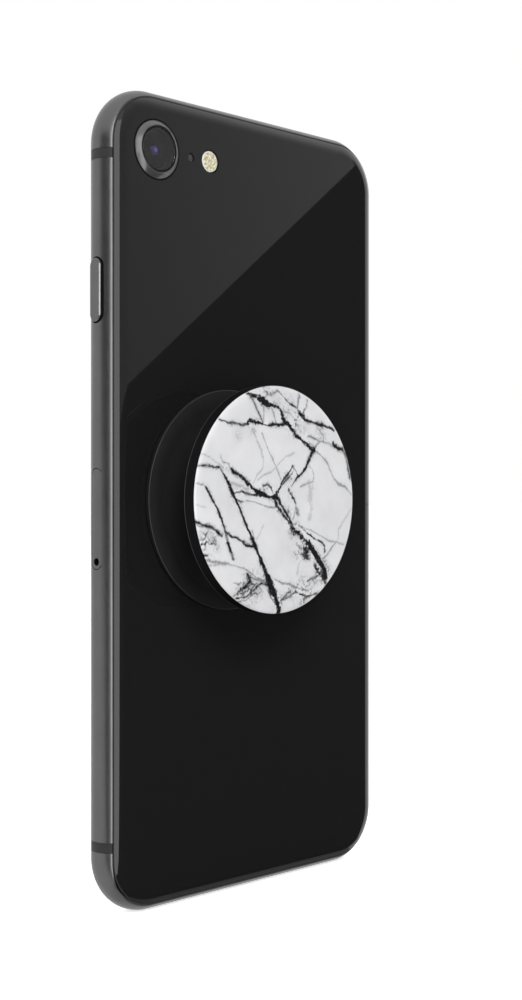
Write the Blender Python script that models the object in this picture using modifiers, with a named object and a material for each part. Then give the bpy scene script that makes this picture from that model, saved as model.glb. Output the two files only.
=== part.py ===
"""Smartphone with a collapsible grip on its back, built as an assembly of separate pieces.

The pieces are modelled in the phone's own flat frame: x runs across the back (to the right as seen from
behind), y along the phone towards its top edge, z through the thickness from the display face at 0 to the
back. One empty stands that frame upright, display towards +Y and back towards -Y.
"""

import math

import bmesh
import bpy
from mathutils import Matrix

MM = 0.001

# Body
PHONE_WIDTH = 67.3 * MM
PHONE_LENGTH = 138.4 * MM
PHONE_THICKNESS = 7.3 * MM
CORNER_RADIUS = 10.0 * MM

# Shells and seats
GLASS_RIM = 0.70 * MM  # height of each cover glass at its rim
SEAL_THICKNESS = 0.10 * MM
SEAL_INSET = 0.20 * MM
BACK_SEAL_WIDTH = 4.0 * MM
SEAT_GAP = 0.05 * MM  # between pieces that rest on each other
FIT_GAP = 0.10 * MM  # around a piece in its hole
INNER_GAP = 0.30 * MM  # between modules inside the housing
BAND_WALL = 2.4 * MM
FLOOR_THICKNESS = 0.5 * MM

# Antenna inserts across the side bands
ANTENNA_FROM_END = 12.05 * MM
ANTENNA_HEIGHT = 1.65 * MM
ANTENNA_DEPTH = 0.8 * MM
ANTENNA_REACH = 2.0 * MM  # how far in from the side an insert goes at its ends

# Buttons
BUTTON_LENGTH = 10.5 * MM
BUTTON_HEIGHT = 2.6 * MM
BUTTON_PROUD = 0.3 * MM
BUTTON_TRAVEL = 0.35 * MM
BUTTON_EDGE = 0.25 * MM
FLANGE_OVERLAP = 0.7 * MM  # how far an inner flange reaches past its slot
FLANGE_THICKNESS = 0.6 * MM
SIDE_BUTTON_FROM_TOP = 34.5 * MM
VOLUME_UP_FROM_TOP = 40.2 * MM
VOLUME_DOWN_FROM_TOP = 53.0 * MM
SWITCH_THICKNESS = 1.2 * MM
SWITCH_LENGTH = 6.0 * MM
PLUNGER_RADIUS = 0.9 * MM
PLUNGER_LENGTH = 0.45 * MM

# Ring and silent switch
RING_SWITCH_FROM_TOP = 27.2 * MM
RING_LEVER_LENGTH = 5.3 * MM
RING_LEVER_HEIGHT = 1.35 * MM
RING_LEVER_PROUD = 0.25 * MM
RING_TRAVEL = 1.3 * MM
RING_BODY_DEPTH = 1.8 * MM

# SIM tray, reader and ejector
TRAY_FROM_TOP = 72.25 * MM
TRAY_FACE_LENGTH = 16.6 * MM
TRAY_FACE_HEIGHT = 2.6 * MM
TRAY_FACE_DEPTH = 2.0 * MM
TRAY_THICKNESS = 0.8 * MM
TRAY_EDGE_ROOM = 0.75 * MM
CARD_LENGTH = 12.3 * MM
CARD_WIDTH = 8.8 * MM
CARD_DEPTH = 0.55 * MM
PIN_HOLE_RADIUS = 0.55 * MM
PIN_HOLE_FROM_END = 1.2 * MM
READER_WALL = 0.3 * MM
READER_SIDE = 1.0 * MM
EJECT_ROD_WIDTH = 0.9 * MM
EJECT_ARM = 3.6 * MM
EJECT_LEVER_WIDTH = 1.0 * MM
EJECT_LEVER_ROOM = 4.0 * MM  # between the lever and the battery

# Rear camera, flash and microphone
CAMERA_FROM_SIDE = 10.15 * MM
CAMERA_FROM_TOP = 10.3 * MM
BEZEL_RADIUS = 5.0 * MM
BEZEL_RISE = 0.75 * MM
BEZEL_LIP = 0.15 * MM
BEZEL_EDGE = 0.06 * MM
BEZEL_ROUND = 0.1 * MM
BEZEL_SHANK_RADIUS = 4.4 * MM
WINDOW_RADIUS = 3.55 * MM
WINDOW_THICKNESS = 0.5 * MM
WINDOW_SHELF = 0.40 * MM
WINDOW_RECESS = 0.05 * MM
BARREL_RADIUS = 3.0 * MM
APERTURE_RADIUS = 1.3 * MM
FOCUS_TRAVEL = 0.25 * MM
CAMERA_MODULE_SIZE = 9.4 * MM
BARREL_WELL_DEPTH = 1.6 * MM
FLASH_FROM_CAMERA = 12.44 * MM
FLASH_RADIUS = 1.88 * MM
FLASH_LED_SIZE = 2.2 * MM
REAR_MIC_FROM_CAMERA = 7.92 * MM
REAR_MIC_RADIUS = 0.65 * MM
REAR_MIC_BODY_RADIUS = 1.3 * MM
FLASH_BOARD_THICKNESS = 0.45 * MM
FLASH_BOARD_MARGIN = 1.0 * MM

# Display side
PANEL_ROOM = 0.35 * MM  # between the panel and the display frame
PANEL_FROM_END = 16.2 * MM
PANEL_THICKNESS = 1.4 * MM
SHIELD_PLATE_THICKNESS = 0.25 * MM
DISPLAY_FRAME_WALL = 0.6 * MM
DISPLAY_FRAME_HEIGHT = 1.2 * MM
HOME_FROM_END = 9.2 * MM
HOME_RADIUS = 4.9 * MM
HOME_RING_WALL = 0.55 * MM
HOME_RECESS = 0.12 * MM
HOME_SENSOR_THICKNESS = 1.0 * MM
EARPIECE_FROM_END = 8.5 * MM
EARPIECE_LENGTH = 10.4 * MM
EARPIECE_HEIGHT = 1.5 * MM
EARPIECE_MESH_RECESS = 0.2 * MM
EARPIECE_BOX_WIDTH = 14.0 * MM
EARPIECE_BOX_LENGTH = 7.6 * MM
EARPIECE_BOX_DEPTH = 3.0 * MM
FRONT_CAMERA_X = 10.6 * MM
FRONT_CAMERA_RADIUS = 1.9 * MM
FRONT_CAMERA_DEPTH = 3.2 * MM

# Bottom edge
PORT_WIDTH = 8.2 * MM
PORT_HEIGHT = 2.3 * MM
PORT_SHELL_WALL = 1.2 * MM
PORT_FRONT_WALL = 0.5 * MM
PORT_DEPTH = 7.0 * MM
PORT_BODY_LENGTH = 8.2 * MM
GRILLE_HOLES = 6
GRILLE_RADIUS = 0.75 * MM
GRILLE_FROM_SCREW = 4.2 * MM
GRILLE_FROM_SIDE = 9.6 * MM
SCREW_FROM_PORT = 4.0 * MM
SCREW_HEAD_RADIUS = 0.8 * MM
SCREW_HEAD_HEIGHT = 0.6 * MM
SCREW_SHANK_RADIUS = 0.5 * MM
SCREW_RECESS = 0.15 * MM
SCREW_TAB_WIDTH = 3.2 * MM
SCREW_TAB_DEPTH = 2.2 * MM

# Modules inside the housing
BATTERY_WIDTH = 34.0 * MM
BATTERY_THICKNESS = 2.65 * MM
BATTERY_FROM_TOP = 22.7 * MM
BATTERY_ROW_ROOM = 4.5 * MM  # between the battery and the bottom row
BATTERY_SIDE_ROOM = 3.8 * MM
BOARD_THICKNESS = 0.7 * MM
BOARD_SIDE_ROOM = 4.4 * MM
BOARD_TOP_BAR = 5.0 * MM
BOARD_LIFT = 0.45 * MM  # height of the screw bosses under the board
CAN_HEIGHT = 1.3 * MM
CAN_EDGE_ROOM = 1.0 * MM
BOSS_RADIUS = 1.5 * MM
BOARD_SCREW_INSET = 2.0 * MM
BOARD_SCREW_HEAD = 1.1 * MM
COIL_RADIUS = 21.5 * MM
COIL_BORE = 10.0 * MM
COIL_THICKNESS = 0.4 * MM
MODULE_CORNER = 2.0 * MM
MODULE_EDGE = 0.2 * MM
MODULE_DEPTH = 2.7 * MM
BOTTOM_ROW_LENGTH = 18.0 * MM
BOTTOM_ROW_SIDE_ROOM = 3.65 * MM
BOTTOM_MIC_WIDTH = 4.0 * MM

# Collapsible grip, heights above the back glass
GRIP_X = -7.0 * MM
GRIP_Y = 0.1 * MM
GRIP_REACH = 12.6 * MM  # face above the glass, popped out one stage
PAD_THICKNESS = 0.5 * MM
BASE_RADIUS = 19.2 * MM
BASE_SKIRT = 1.8 * MM
BASE_FLOOR = 0.6 * MM
BASE_EDGE_HEIGHT = 1.1 * MM
BASE_RIM_HEIGHT = 1.6 * MM
BASE_RIM_WIDTH = 1.8 * MM
CAP_RADIUS = 19.45 * MM
CAP_THICKNESS = 2.2 * MM
CAP_EDGE = 0.4 * MM
CAP_LIP_THICKNESS = 0.55 * MM
CAP_ROOF = 0.75 * MM
FACE_INSET = 0.1 * MM
FACE_THICKNESS = 0.5 * MM
FACE_ROUND = 0.6 * MM
HUB_RADIUS = 8.1 * MM
HUB_FLANGE_RADIUS = 9.3 * MM
HUB_FLANGE_THICKNESS = 0.8 * MM
LUG_REACH = 1.9 * MM
LUG_WIDTH = 4.0 * MM
BELLOWS_FOOT_ROOM = 0.4 * MM
BELLOWS_WALL = 0.9 * MM
BELLOWS_FOLDS = 3
BELLOWS_FOLD_DEPTH = 0.9 * MM
BELLOWS_STEP = 0.3  # how far up its rise a fold is widest

# Facets
CORNER_STEPS = 8
EDGE_STEPS = 5
SLOT_STEPS = 6
LARGE_STEPS = 48
RING_STEPS = 32
SMALL_STEPS = 24
TINY_STEPS = 12
MODULE_STEPS = 3
WELD = 0.001 * MM
CLEAR = 1.0 * MM  # how far a cutter runs past what it cuts

# Finishes: colour, roughness, metallic
ANODISED = ((0.115, 0.115, 0.120), 0.36, 1.0)
ANODISED_DARK = ((0.060, 0.060, 0.063), 0.34, 1.0)
POLYMER_GREY = ((0.045, 0.045, 0.048), 0.45, 0.0)
BLACK_GLASS = ((0.010, 0.010, 0.011), 0.06, 0.0)
BLACK_RUBBER = ((0.012, 0.012, 0.012), 0.80, 0.0)
BLACK_PLASTIC = ((0.014, 0.014, 0.015), 0.40, 0.0)
WHITE_FACE = ((0.86, 0.86, 0.86), 0.30, 0.0)
CREAM_LENS = ((0.75, 0.68, 0.42), 0.35, 0.0)
STEEL = ((0.55, 0.55, 0.56), 0.30, 1.0)
COPPER = ((0.70, 0.36, 0.20), 0.40, 1.0)
BOARD_GREEN = ((0.010, 0.045, 0.030), 0.55, 0.0)
CELL_BLACK = ((0.020, 0.020, 0.022), 0.60, 0.0)

# Levels and places that follow from the sizes above
HALF_WIDTH = PHONE_WIDTH / 2
HALF_LENGTH = PHONE_LENGTH / 2
MID = PHONE_THICKNESS / 2
EDGE_RADIUS = MID
FRAME_FRONT = GLASS_RIM + SEAL_THICKNESS + 2 * SEAT_GAP
FRAME_BACK = PHONE_THICKNESS - FRAME_FRONT
FLOOR = FRAME_BACK - FLOOR_THICKNESS
INNER_X = HALF_WIDTH - BAND_WALL
INNER_Y = HALF_LENGTH - BAND_WALL
BACK_GLASS_INNER = PHONE_THICKNESS - GLASS_RIM
DISPLAY_INNER = GLASS_RIM + SEAT_GAP
PANEL_BACK = DISPLAY_INNER + PANEL_THICKNESS
SHIELD_BACK = PANEL_BACK + SEAT_GAP + SHIELD_PLATE_THICKNESS
BEHIND_DISPLAY = SHIELD_BACK + INNER_GAP
ON_FLOOR = FLOOR - SEAT_GAP
BOARD_BACK = FLOOR - BOARD_LIFT - SEAT_GAP
BOARD_FRONT = BOARD_BACK - BOARD_THICKNESS
ON_BOARD = BOARD_FRONT - SEAT_GAP
BOTTOM_ROW_LOW = -INNER_Y + SCREW_TAB_DEPTH + 2 * INNER_GAP
BOTTOM_ROW_HIGH = BOTTOM_ROW_LOW + BOTTOM_ROW_LENGTH
BATTERY_RIGHT = INNER_X - BATTERY_SIDE_ROOM
BATTERY_LEFT = BATTERY_RIGHT - BATTERY_WIDTH
BATTERY_TOP = HALF_LENGTH - BATTERY_FROM_TOP
BATTERY_BOTTOM = BOTTOM_ROW_HIGH + BATTERY_ROW_ROOM
BATTERY_LENGTH = BATTERY_TOP - BATTERY_BOTTOM
BOARD_LEFT = -INNER_X + BOARD_SIDE_ROOM
BOARD_RIGHT = BATTERY_LEFT - INNER_GAP
BOARD_TOP = BATTERY_TOP + INNER_GAP + BOARD_TOP_BAR
BOARD_BOTTOM = BATTERY_BOTTOM + BOARD_TOP_BAR
SIDE_BUTTON_Y = HALF_LENGTH - SIDE_BUTTON_FROM_TOP
VOLUME_UP_Y = HALF_LENGTH - VOLUME_UP_FROM_TOP
VOLUME_DOWN_Y = HALF_LENGTH - VOLUME_DOWN_FROM_TOP
RING_SWITCH_Y = HALF_LENGTH - RING_SWITCH_FROM_TOP
TRAY_Y = HALF_LENGTH - TRAY_FROM_TOP
TRAY_LOW = TRAY_Y - TRAY_FACE_LENGTH / 2
TRAY_HIGH = TRAY_Y + TRAY_FACE_LENGTH / 2
PIN_HOLE_Y = TRAY_LOW + PIN_HOLE_FROM_END
TRAY_FACE_INNER = -HALF_WIDTH + TRAY_FACE_DEPTH
LEVER_LEFT = BATTERY_LEFT - EJECT_LEVER_ROOM - EJECT_LEVER_WIDTH
TRAY_END = LEVER_LEFT - 2 * INNER_GAP
PLATE_LOW = PIN_HOLE_Y + PIN_HOLE_RADIUS + INNER_GAP
PLATE_HIGH = TRAY_HIGH - TRAY_EDGE_ROOM
CAMERA_X = -HALF_WIDTH + CAMERA_FROM_SIDE
CAMERA_Y = HALF_LENGTH - CAMERA_FROM_TOP
FLASH_X = CAMERA_X + FLASH_FROM_CAMERA
REAR_MIC_X = CAMERA_X + REAR_MIC_FROM_CAMERA
PANEL_WIDTH = 2 * (INNER_X - INNER_GAP - DISPLAY_FRAME_WALL - PANEL_ROOM)
PANEL_LENGTH = PHONE_LENGTH - 2 * PANEL_FROM_END
PORT_BODY_X = PORT_WIDTH / 2 + PORT_SHELL_WALL
SCREW_X = PORT_WIDTH / 2 + SCREW_FROM_PORT
GRILLE_FIRST_X = SCREW_X + GRILLE_FROM_SCREW
GRILLE_LAST_X = HALF_WIDTH - GRILLE_FROM_SIDE
GRILLE_PITCH = (GRILLE_LAST_X - GRILLE_FIRST_X) / (GRILLE_HOLES - 1)
GRIP_DEPTH = PHONE_THICKNESS + GRIP_REACH

# Grip levels above the glass
BASE_LOW = SEAT_GAP + PAD_THICKNESS + SEAT_GAP
BASE_TOP = BASE_LOW + BASE_FLOOR
PAD_RADIUS = BASE_RADIUS - BASE_SKIRT - FIT_GAP
BASE_RIM_INNER = BASE_RADIUS - BASE_RIM_WIDTH
BASE_DISH_RADIUS = BASE_RIM_INNER - (BASE_RIM_HEIGHT - BASE_TOP)
BELLOWS_FOOT_RADIUS = BASE_DISH_RADIUS - BELLOWS_FOOT_ROOM
FACE_RADIUS = CAP_RADIUS - FACE_INSET
FACE_LOW = GRIP_REACH - FACE_THICKNESS
CAP_TOP = FACE_LOW - SEAT_GAP
CAP_LOW = CAP_TOP - CAP_THICKNESS
HUB_TOP = CAP_TOP - CAP_ROOF - FIT_GAP
LUG_LOW = CAP_LOW + CAP_LIP_THICKNESS + FIT_GAP
FLANGE_TOP = CAP_LOW - INNER_GAP
HUB_LOW = FLANGE_TOP - HUB_FLANGE_THICKNESS


def start_scene():
    """Empty the scene and return its two collections and the empty that stands the phone upright."""
    for old in list(bpy.data.objects):
        bpy.data.objects.remove(old, do_unlink=True)
    parts = bpy.data.collections.new("smartphone")
    cutters = bpy.data.collections.new("cutters")
    for collection in (parts, cutters):
        bpy.context.scene.collection.children.link(collection)
    upright = bpy.data.objects.new("upright", None)
    upright.rotation_euler = (math.pi / 2, 0.0, 0.0)
    upright.location = (0.0, GRIP_DEPTH / 2, HALF_LENGTH)
    parts.objects.link(upright)
    return parts, cutters, upright


PARTS, CUTTERS, UPRIGHT = start_scene()


def new_empty(name, place):
    """An empty under the upright one, for pieces that share an axis."""
    empty = bpy.data.objects.new(name, None)
    empty.location = place
    empty.parent = UPRIGHT
    PARTS.objects.link(empty)
    return empty


GRIP_AXIS = new_empty("grip_axis", (GRIP_X, GRIP_Y, PHONE_THICKNESS))
CAMERA_AXIS = new_empty("camera_axis", (CAMERA_X, CAMERA_Y, PHONE_THICKNESS))


def piece(shape, look, parent=UPRIGHT):
    """Make a shape one of the object's pieces, with a material of its own."""
    colour, roughness, metallic = look
    material = bpy.data.materials.new(shape.name)
    material.use_nodes = True
    shader = next(n for n in material.node_tree.nodes if n.type == "BSDF_PRINCIPLED")
    shader.inputs["Base Color"].default_value = (*colour, 1.0)
    shader.inputs["Roughness"].default_value = roughness
    shader.inputs["Metallic"].default_value = metallic
    shape.data.materials.append(material)
    shape.parent = parent
    PARTS.objects.link(shape)
    return shape


def tool(shape, parent=UPRIGHT):
    """Make a shape a hidden cutter or operand."""
    shape.hide_render = True
    shape.display_type = "WIRE"
    shape.parent = parent
    CUTTERS.objects.link(shape)
    return shape


def combine(target, operation, *shapes):
    """Add a Boolean modifier to the target for each hidden shape."""
    for shape in shapes:
        modifier = target.modifiers.new(shape.name, "BOOLEAN")
        modifier.operation = operation
        modifier.solver = "EXACT"
        modifier.object = shape
    return target


def cut(target, *shapes):
    return combine(target, "DIFFERENCE", *shapes)


def join(target, *shapes):
    return combine(target, "UNION", *shapes)


def keep(target, *shapes):
    return combine(target, "INTERSECT", *shapes)


def bevel(shape, width, segments=1):
    """Round a shape's edges."""
    modifier = shape.modifiers.new("edge", "BEVEL")
    modifier.width = width
    modifier.segments = segments
    modifier.limit_method = "ANGLE"
    modifier.angle_limit = math.radians(40)
    return shape


def mesh_object(name, builder):
    """An object holding the bmesh."""
    mesh = bpy.data.meshes.new(name)
    builder.to_mesh(mesh)
    builder.free()
    return bpy.data.objects.new(name, mesh)


def block(name, x, y, z):
    """A box between two values along each axis, with its origin at its centre."""
    builder = bmesh.new()
    bmesh.ops.create_cube(builder, size=1.0)
    bmesh.ops.scale(builder, vec=[high - low for low, high in (x, y, z)], verts=builder.verts)
    shape = mesh_object(name, builder)
    shape.location = [(low + high) / 2 for low, high in (x, y, z)]
    return shape


def rods(name, radius, length, places, along, steps=TINY_STEPS):
    """One cylinder of this length centred at each place, along x, y or z."""
    builder = bmesh.new()
    for place in places:
        made = bmesh.ops.create_cone(
            builder, cap_ends=True, segments=steps, radius1=radius, radius2=radius, depth=length
        )
        turn = {"x": Matrix.Rotation(math.pi / 2, 3, "Y"), "y": Matrix.Rotation(math.pi / 2, 3, "X")}
        if along in turn:
            bmesh.ops.rotate(builder, verts=made["verts"], matrix=turn[along])
        bmesh.ops.translate(builder, vec=place, verts=made["verts"])
    return mesh_object(name, builder)


def rounded(width, length, radius, steps):
    """Points of a rectangle with round corners, centred on the origin."""
    points = []
    corners = ((1, 1, 0.0), (-1, 1, 0.5), (-1, -1, 1.0), (1, -1, 1.5))
    for side_x, side_y, start in corners:
        centre_x = side_x * (width / 2 - radius)
        centre_y = side_y * (length / 2 - radius)
        for step in range(steps + 1):
            angle = math.pi * (start + 0.5 * step / steps)
            points.append((centre_x + radius * math.cos(angle), centre_y + radius * math.sin(angle)))
    return points


def curve_solid(name, points, half_depth, edge_radius=0.0, edge_steps=0):
    """A filled flat outline, extruded or with a full round edge, as a closed mesh."""
    curve = bpy.data.curves.new(name, "CURVE")
    curve.dimensions = "2D"
    curve.fill_mode = "BOTH"
    curve.extrude = half_depth
    curve.bevel_depth = edge_radius
    curve.bevel_resolution = edge_steps
    spline = curve.splines.new("POLY")
    spline.points.add(len(points) - 1)
    for point, (x, y) in zip(spline.points, points):
        point.co = (x, y, 0.0, 1.0)
    spline.use_cyclic_u = True
    holder = bpy.data.objects.new(name, curve)
    bpy.context.scene.collection.objects.link(holder)
    graph = bpy.context.evaluated_depsgraph_get()
    mesh = bpy.data.meshes.new_from_object(holder.evaluated_get(graph))
    bpy.data.objects.remove(holder, do_unlink=True)
    builder = bmesh.new()
    builder.from_mesh(mesh)
    bmesh.ops.remove_doubles(builder, verts=builder.verts, dist=WELD)
    bmesh.ops.recalc_face_normals(builder, faces=builder.faces)
    bpy.data.meshes.remove(mesh)
    return mesh_object(name, builder)


def plate(name, points, low, high, x=0.0, y=0.0):
    """A flat outline between two levels of z."""
    shape = curve_solid(name, points, (high - low) / 2)
    shape.location = (x, y, (low + high) / 2)
    return shape


def slot(name, length, height, depth, place, along, radius=None):
    """A prism with round ends: its length along y and depth along x, or length along x and depth along y."""
    radius = radius or min(length, height) / 2
    shape = curve_solid(name, rounded(length, height, radius, SLOT_STEPS), depth / 2)
    shape.rotation_euler = (math.pi / 2, 0.0, math.pi / 2 if along == "x" else 0.0)
    shape.location = place
    return shape


def turned(name, profile, steps=LARGE_STEPS, closed=False):
    """A profile of (radius, z) points, running down its outer side, turned about z."""
    mesh = bpy.data.meshes.new(name)
    edges = [(i, i + 1) for i in range(len(profile) - 1)]
    if closed:
        edges.append((len(profile) - 1, 0))
    mesh.from_pydata([(radius, 0.0, z) for radius, z in profile], edges, [])
    shape = bpy.data.objects.new(name, mesh)
    screw = shape.modifiers.new("turn", "SCREW")
    screw.steps = steps
    screw.render_steps = steps
    screw.use_merge_vertices = True
    screw.merge_threshold = WELD
    screw.use_smooth_shade = False
    return shape


def disc(name, radius, low, high, steps=SMALL_STEPS):
    """A plain round plate about z."""
    return turned(name, [(0.0, high), (radius, high), (radius, low), (0.0, low)], steps)


def arc(centre_r, centre_z, radius, start, end, steps):
    """Points of a profile's round corner, angles in degrees from +r towards +z."""
    points = []
    for step in range(steps + 1):
        angle = math.radians(start + (end - start) * step / steps)
        points.append((centre_r + radius * math.cos(angle), centre_z + radius * math.sin(angle)))
    return points


def body(name, inset=0.0):
    """The phone's whole outer form, a rounded slab with full round edges, or the same form inset."""
    path = rounded(
        PHONE_WIDTH - 2 * EDGE_RADIUS,
        PHONE_LENGTH - 2 * EDGE_RADIUS,
        CORNER_RADIUS - EDGE_RADIUS,
        CORNER_STEPS,
    )
    shape = curve_solid(name, path, 0.0, EDGE_RADIUS - inset, EDGE_STEPS)
    shape.location = (0.0, 0.0, MID)
    return shape


def slab(name, low, high):
    """A block wider than the phone, between two levels."""
    return block(
        name,
        (-HALF_WIDTH - CLEAR, HALF_WIDTH + CLEAR),
        (-HALF_LENGTH - CLEAR, HALF_LENGTH + CLEAR),
        (low, high),
    )


def edge_inset(level):
    """How far the round edge has drawn in from the outline at a level of z."""
    return EDGE_RADIUS - math.sqrt(EDGE_RADIUS**2 - (MID - level) ** 2)


def phone_outline(inset, steps=CORNER_STEPS):
    """The phone's outline, inset."""
    return rounded(
        PHONE_WIDTH - 2 * inset, PHONE_LENGTH - 2 * inset, max(CORNER_RADIUS - inset, MODULE_CORNER), steps
    )


def board_screw_places():
    """Where the logic board is screwed down."""
    left = BOARD_LEFT + BOARD_SCREW_INSET
    right = BOARD_RIGHT - BOARD_SCREW_INSET
    top = BOARD_TOP - BOARD_SCREW_INSET
    bottom = BOARD_BOTTOM + BOARD_SCREW_INSET
    return ((left, top), (left, bottom), (right, bottom))


def make_frame():
    """Metal mid frame: the round band and the floor behind the modules, with every opening in it."""
    frame = piece(body("mid_frame"), ANODISED)
    keep(frame, tool(slab("frame_height", FRAME_FRONT, FRAME_BACK)))
    cut(frame, *antenna_grooves())
    cut(frame, tool(plate("housing_hollow", phone_outline(BAND_WALL), -CLEAR, FLOOR)))
    window = disc("coil_window", COIL_RADIUS + INNER_GAP, FLOOR - CLEAR, FRAME_BACK + CLEAR, LARGE_STEPS)
    cut(frame, tool(window))
    rear = [(CAMERA_X, CAMERA_Y, FLOOR)]
    cut(frame, tool(rods("camera_opening", BARREL_RADIUS + INNER_GAP, 2 * CLEAR, rear, "z", SMALL_STEPS)))
    rear = [(FLASH_X, CAMERA_Y, FLOOR), (REAR_MIC_X, CAMERA_Y, FLOOR)]
    window = max(math.hypot(FLASH_LED_SIZE, FLASH_LED_SIZE) / 2, REAR_MIC_BODY_RADIUS) + FIT_GAP
    cut(frame, tool(rods("flash_openings", window, 2 * CLEAR, rear, "z")))
    cut_side_openings(frame)
    cut_bottom_openings(frame)
    add_board_bosses(frame)
    return frame


def add_board_bosses(frame):
    """Threaded bosses under the logic board."""
    for number, (x, y) in enumerate(board_screw_places(), 1):
        boss = disc(f"boss_{number}", BOSS_RADIUS, FLOOR - BOARD_LIFT, FLOOR + SEAT_GAP, TINY_STEPS)
        boss.location = (x, y, 0.0)
        join(frame, tool(boss))
    thread = SCREW_SHANK_RADIUS + SEAT_GAP
    depth = 2 * (BOARD_LIFT + FLOOR_THICKNESS / 2)
    holes = [(x, y, FLOOR - BOARD_LIFT) for x, y in board_screw_places()]
    cut(frame, tool(rods("board_threads", thread, depth, holes, "z")))


def cut_side_openings(frame):
    """Slots for the buttons, the ring switch and the SIM tray."""
    depth = 2 * (BAND_WALL + CLEAR)
    length = BUTTON_LENGTH + 2 * FIT_GAP
    height = BUTTON_HEIGHT + 2 * FIT_GAP
    for name, side, y in button_places():
        cut(frame, tool(slot(f"{name}_slot", length, height, depth, (side * HALF_WIDTH, y, MID), "x")))
    ring = (RING_LEVER_LENGTH + 2 * FIT_GAP, RING_LEVER_HEIGHT + RING_TRAVEL + 2 * FIT_GAP)
    end = RING_LEVER_HEIGHT / 2 + FIT_GAP
    cut(frame, tool(slot("ring_switch_slot", *ring, depth, (HALF_WIDTH, RING_SWITCH_Y, MID), "x", end)))
    tray = (TRAY_FACE_LENGTH + 2 * FIT_GAP, TRAY_FACE_HEIGHT + 2 * FIT_GAP)
    cut(frame, tool(slot("tray_slot", *tray, depth, (-HALF_WIDTH, TRAY_Y, MID), "x")))


def cut_bottom_openings(frame):
    """Port, sound holes and screw holes in the bottom edge."""
    depth = 2 * (BAND_WALL + CLEAR)
    cut(frame, tool(slot("port_opening", PORT_WIDTH, PORT_HEIGHT, depth, (0.0, -HALF_LENGTH, MID), "y")))
    places = []
    for side in (-1, 1):
        for number in range(GRILLE_HOLES):
            places.append((side * (GRILLE_FIRST_X + number * GRILLE_PITCH), -HALF_LENGTH, MID))
    cut(frame, tool(rods("sound_holes", GRILLE_RADIUS, 2 * CORNER_RADIUS, places, "y")))
    screws = [(side * SCREW_X, -HALF_LENGTH, MID) for side in (-1, 1)]
    cut(frame, tool(rods("screw_holes", SCREW_SHANK_RADIUS + FIT_GAP, depth, screws, "y")))
    sink = 2 * (SCREW_RECESS + SCREW_HEAD_HEIGHT + SEAT_GAP)
    cut(frame, tool(rods("screw_sinks", SCREW_HEAD_RADIUS + FIT_GAP, sink, screws, "y")))


def antenna_places():
    """Side and height of each antenna insert."""
    y = HALF_LENGTH - ANTENNA_FROM_END
    return (("left_top", -1, y), ("left_bottom", -1, -y), ("right_top", 1, y), ("right_bottom", 1, -y))


def antenna_grooves():
    """Cutters for the grooves that hold the inserts, as deep as the inserts and a gap more."""
    core = tool(body("groove_core", ANTENNA_DEPTH + SEAT_GAP))
    grooves = []
    for name, side, y in antenna_places():
        half = ANTENNA_HEIGHT / 2 + SEAT_GAP
        across = sorted((side * (HALF_WIDTH - ANTENNA_REACH - SEAT_GAP), side * (HALF_WIDTH + CLEAR)))
        groove = block(f"{name}_groove", across, (y - half, y + half), (-CLEAR, PHONE_THICKNESS + CLEAR))
        grooves.append(cut(tool(groove), core))
    return grooves


def make_antenna_inserts():
    """Polymer inserts across the side bands, flush with the metal."""
    core = tool(body("insert_core", ANTENNA_DEPTH))
    for name, side, y in antenna_places():
        insert = piece(body(f"antenna_insert_{name}"), POLYMER_GREY)
        half = ANTENNA_HEIGHT / 2
        across = sorted((side * (HALF_WIDTH - ANTENNA_REACH), side * (HALF_WIDTH + CLEAR)))
        keep(insert, tool(block(f"{name}_reach", across, (y - half, y + half), (FRAME_FRONT, FRAME_BACK))))
        cut(insert, core)


def make_cover_glasses():
    """Back glass and display glass: the outer parts of the body's form, with their openings."""
    back = piece(body("back_glass"), BLACK_GLASS)
    keep(back, tool(slab("back_glass_height", BACK_GLASS_INNER, PHONE_THICKNESS + CLEAR)))
    camera = [(CAMERA_X, CAMERA_Y, PHONE_THICKNESS)]
    cut(back, tool(rods("bezel_hole", BEZEL_SHANK_RADIUS + FIT_GAP, 2 * CLEAR, camera, "z", SMALL_STEPS)))
    flash = [(FLASH_X, CAMERA_Y, PHONE_THICKNESS)]
    cut(back, tool(rods("flash_hole", FLASH_RADIUS + FIT_GAP, 2 * CLEAR, flash, "z", SMALL_STEPS)))
    microphone = [(REAR_MIC_X, CAMERA_Y, PHONE_THICKNESS)]
    cut(back, tool(rods("microphone_hole", REAR_MIC_RADIUS, 2 * CLEAR, microphone, "z")))
    front = piece(body("display_glass"), BLACK_GLASS)
    keep(front, tool(slab("display_glass_height", -CLEAR, GLASS_RIM)))
    home = HOME_RADIUS + HOME_RING_WALL + 2 * FIT_GAP
    places = [(0.0, -HALF_LENGTH + HOME_FROM_END, 0.0)]
    cut(front, tool(rods("home_hole", home, 2 * CLEAR, places, "z", SMALL_STEPS)))
    ear = rounded(EARPIECE_LENGTH, EARPIECE_HEIGHT, EARPIECE_HEIGHT / 2, SLOT_STEPS)
    cut(front, tool(plate("earpiece_slot", ear, -CLEAR, CLEAR, y=HALF_LENGTH - EARPIECE_FROM_END)))


def make_seals():
    """Thin seals between the frame and each glass."""
    outer = edge_inset(FRAME_FRONT) + SEAL_INSET
    low = GLASS_RIM + SEAT_GAP
    display = piece(plate("display_seal", phone_outline(outer), low, low + SEAL_THICKNESS), BLACK_RUBBER)
    inner = phone_outline(BAND_WALL - SEAL_INSET)
    cut(display, tool(plate("display_seal_hollow", inner, low - CLEAR, low + CLEAR)))
    low = FRAME_BACK + SEAT_GAP
    back = piece(plate("back_seal", phone_outline(outer), low, low + SEAL_THICKNESS), BLACK_RUBBER)
    inner = phone_outline(outer + BACK_SEAL_WIDTH)
    cut(back, tool(plate("back_seal_hollow", inner, low - CLEAR, low + CLEAR)))


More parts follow.
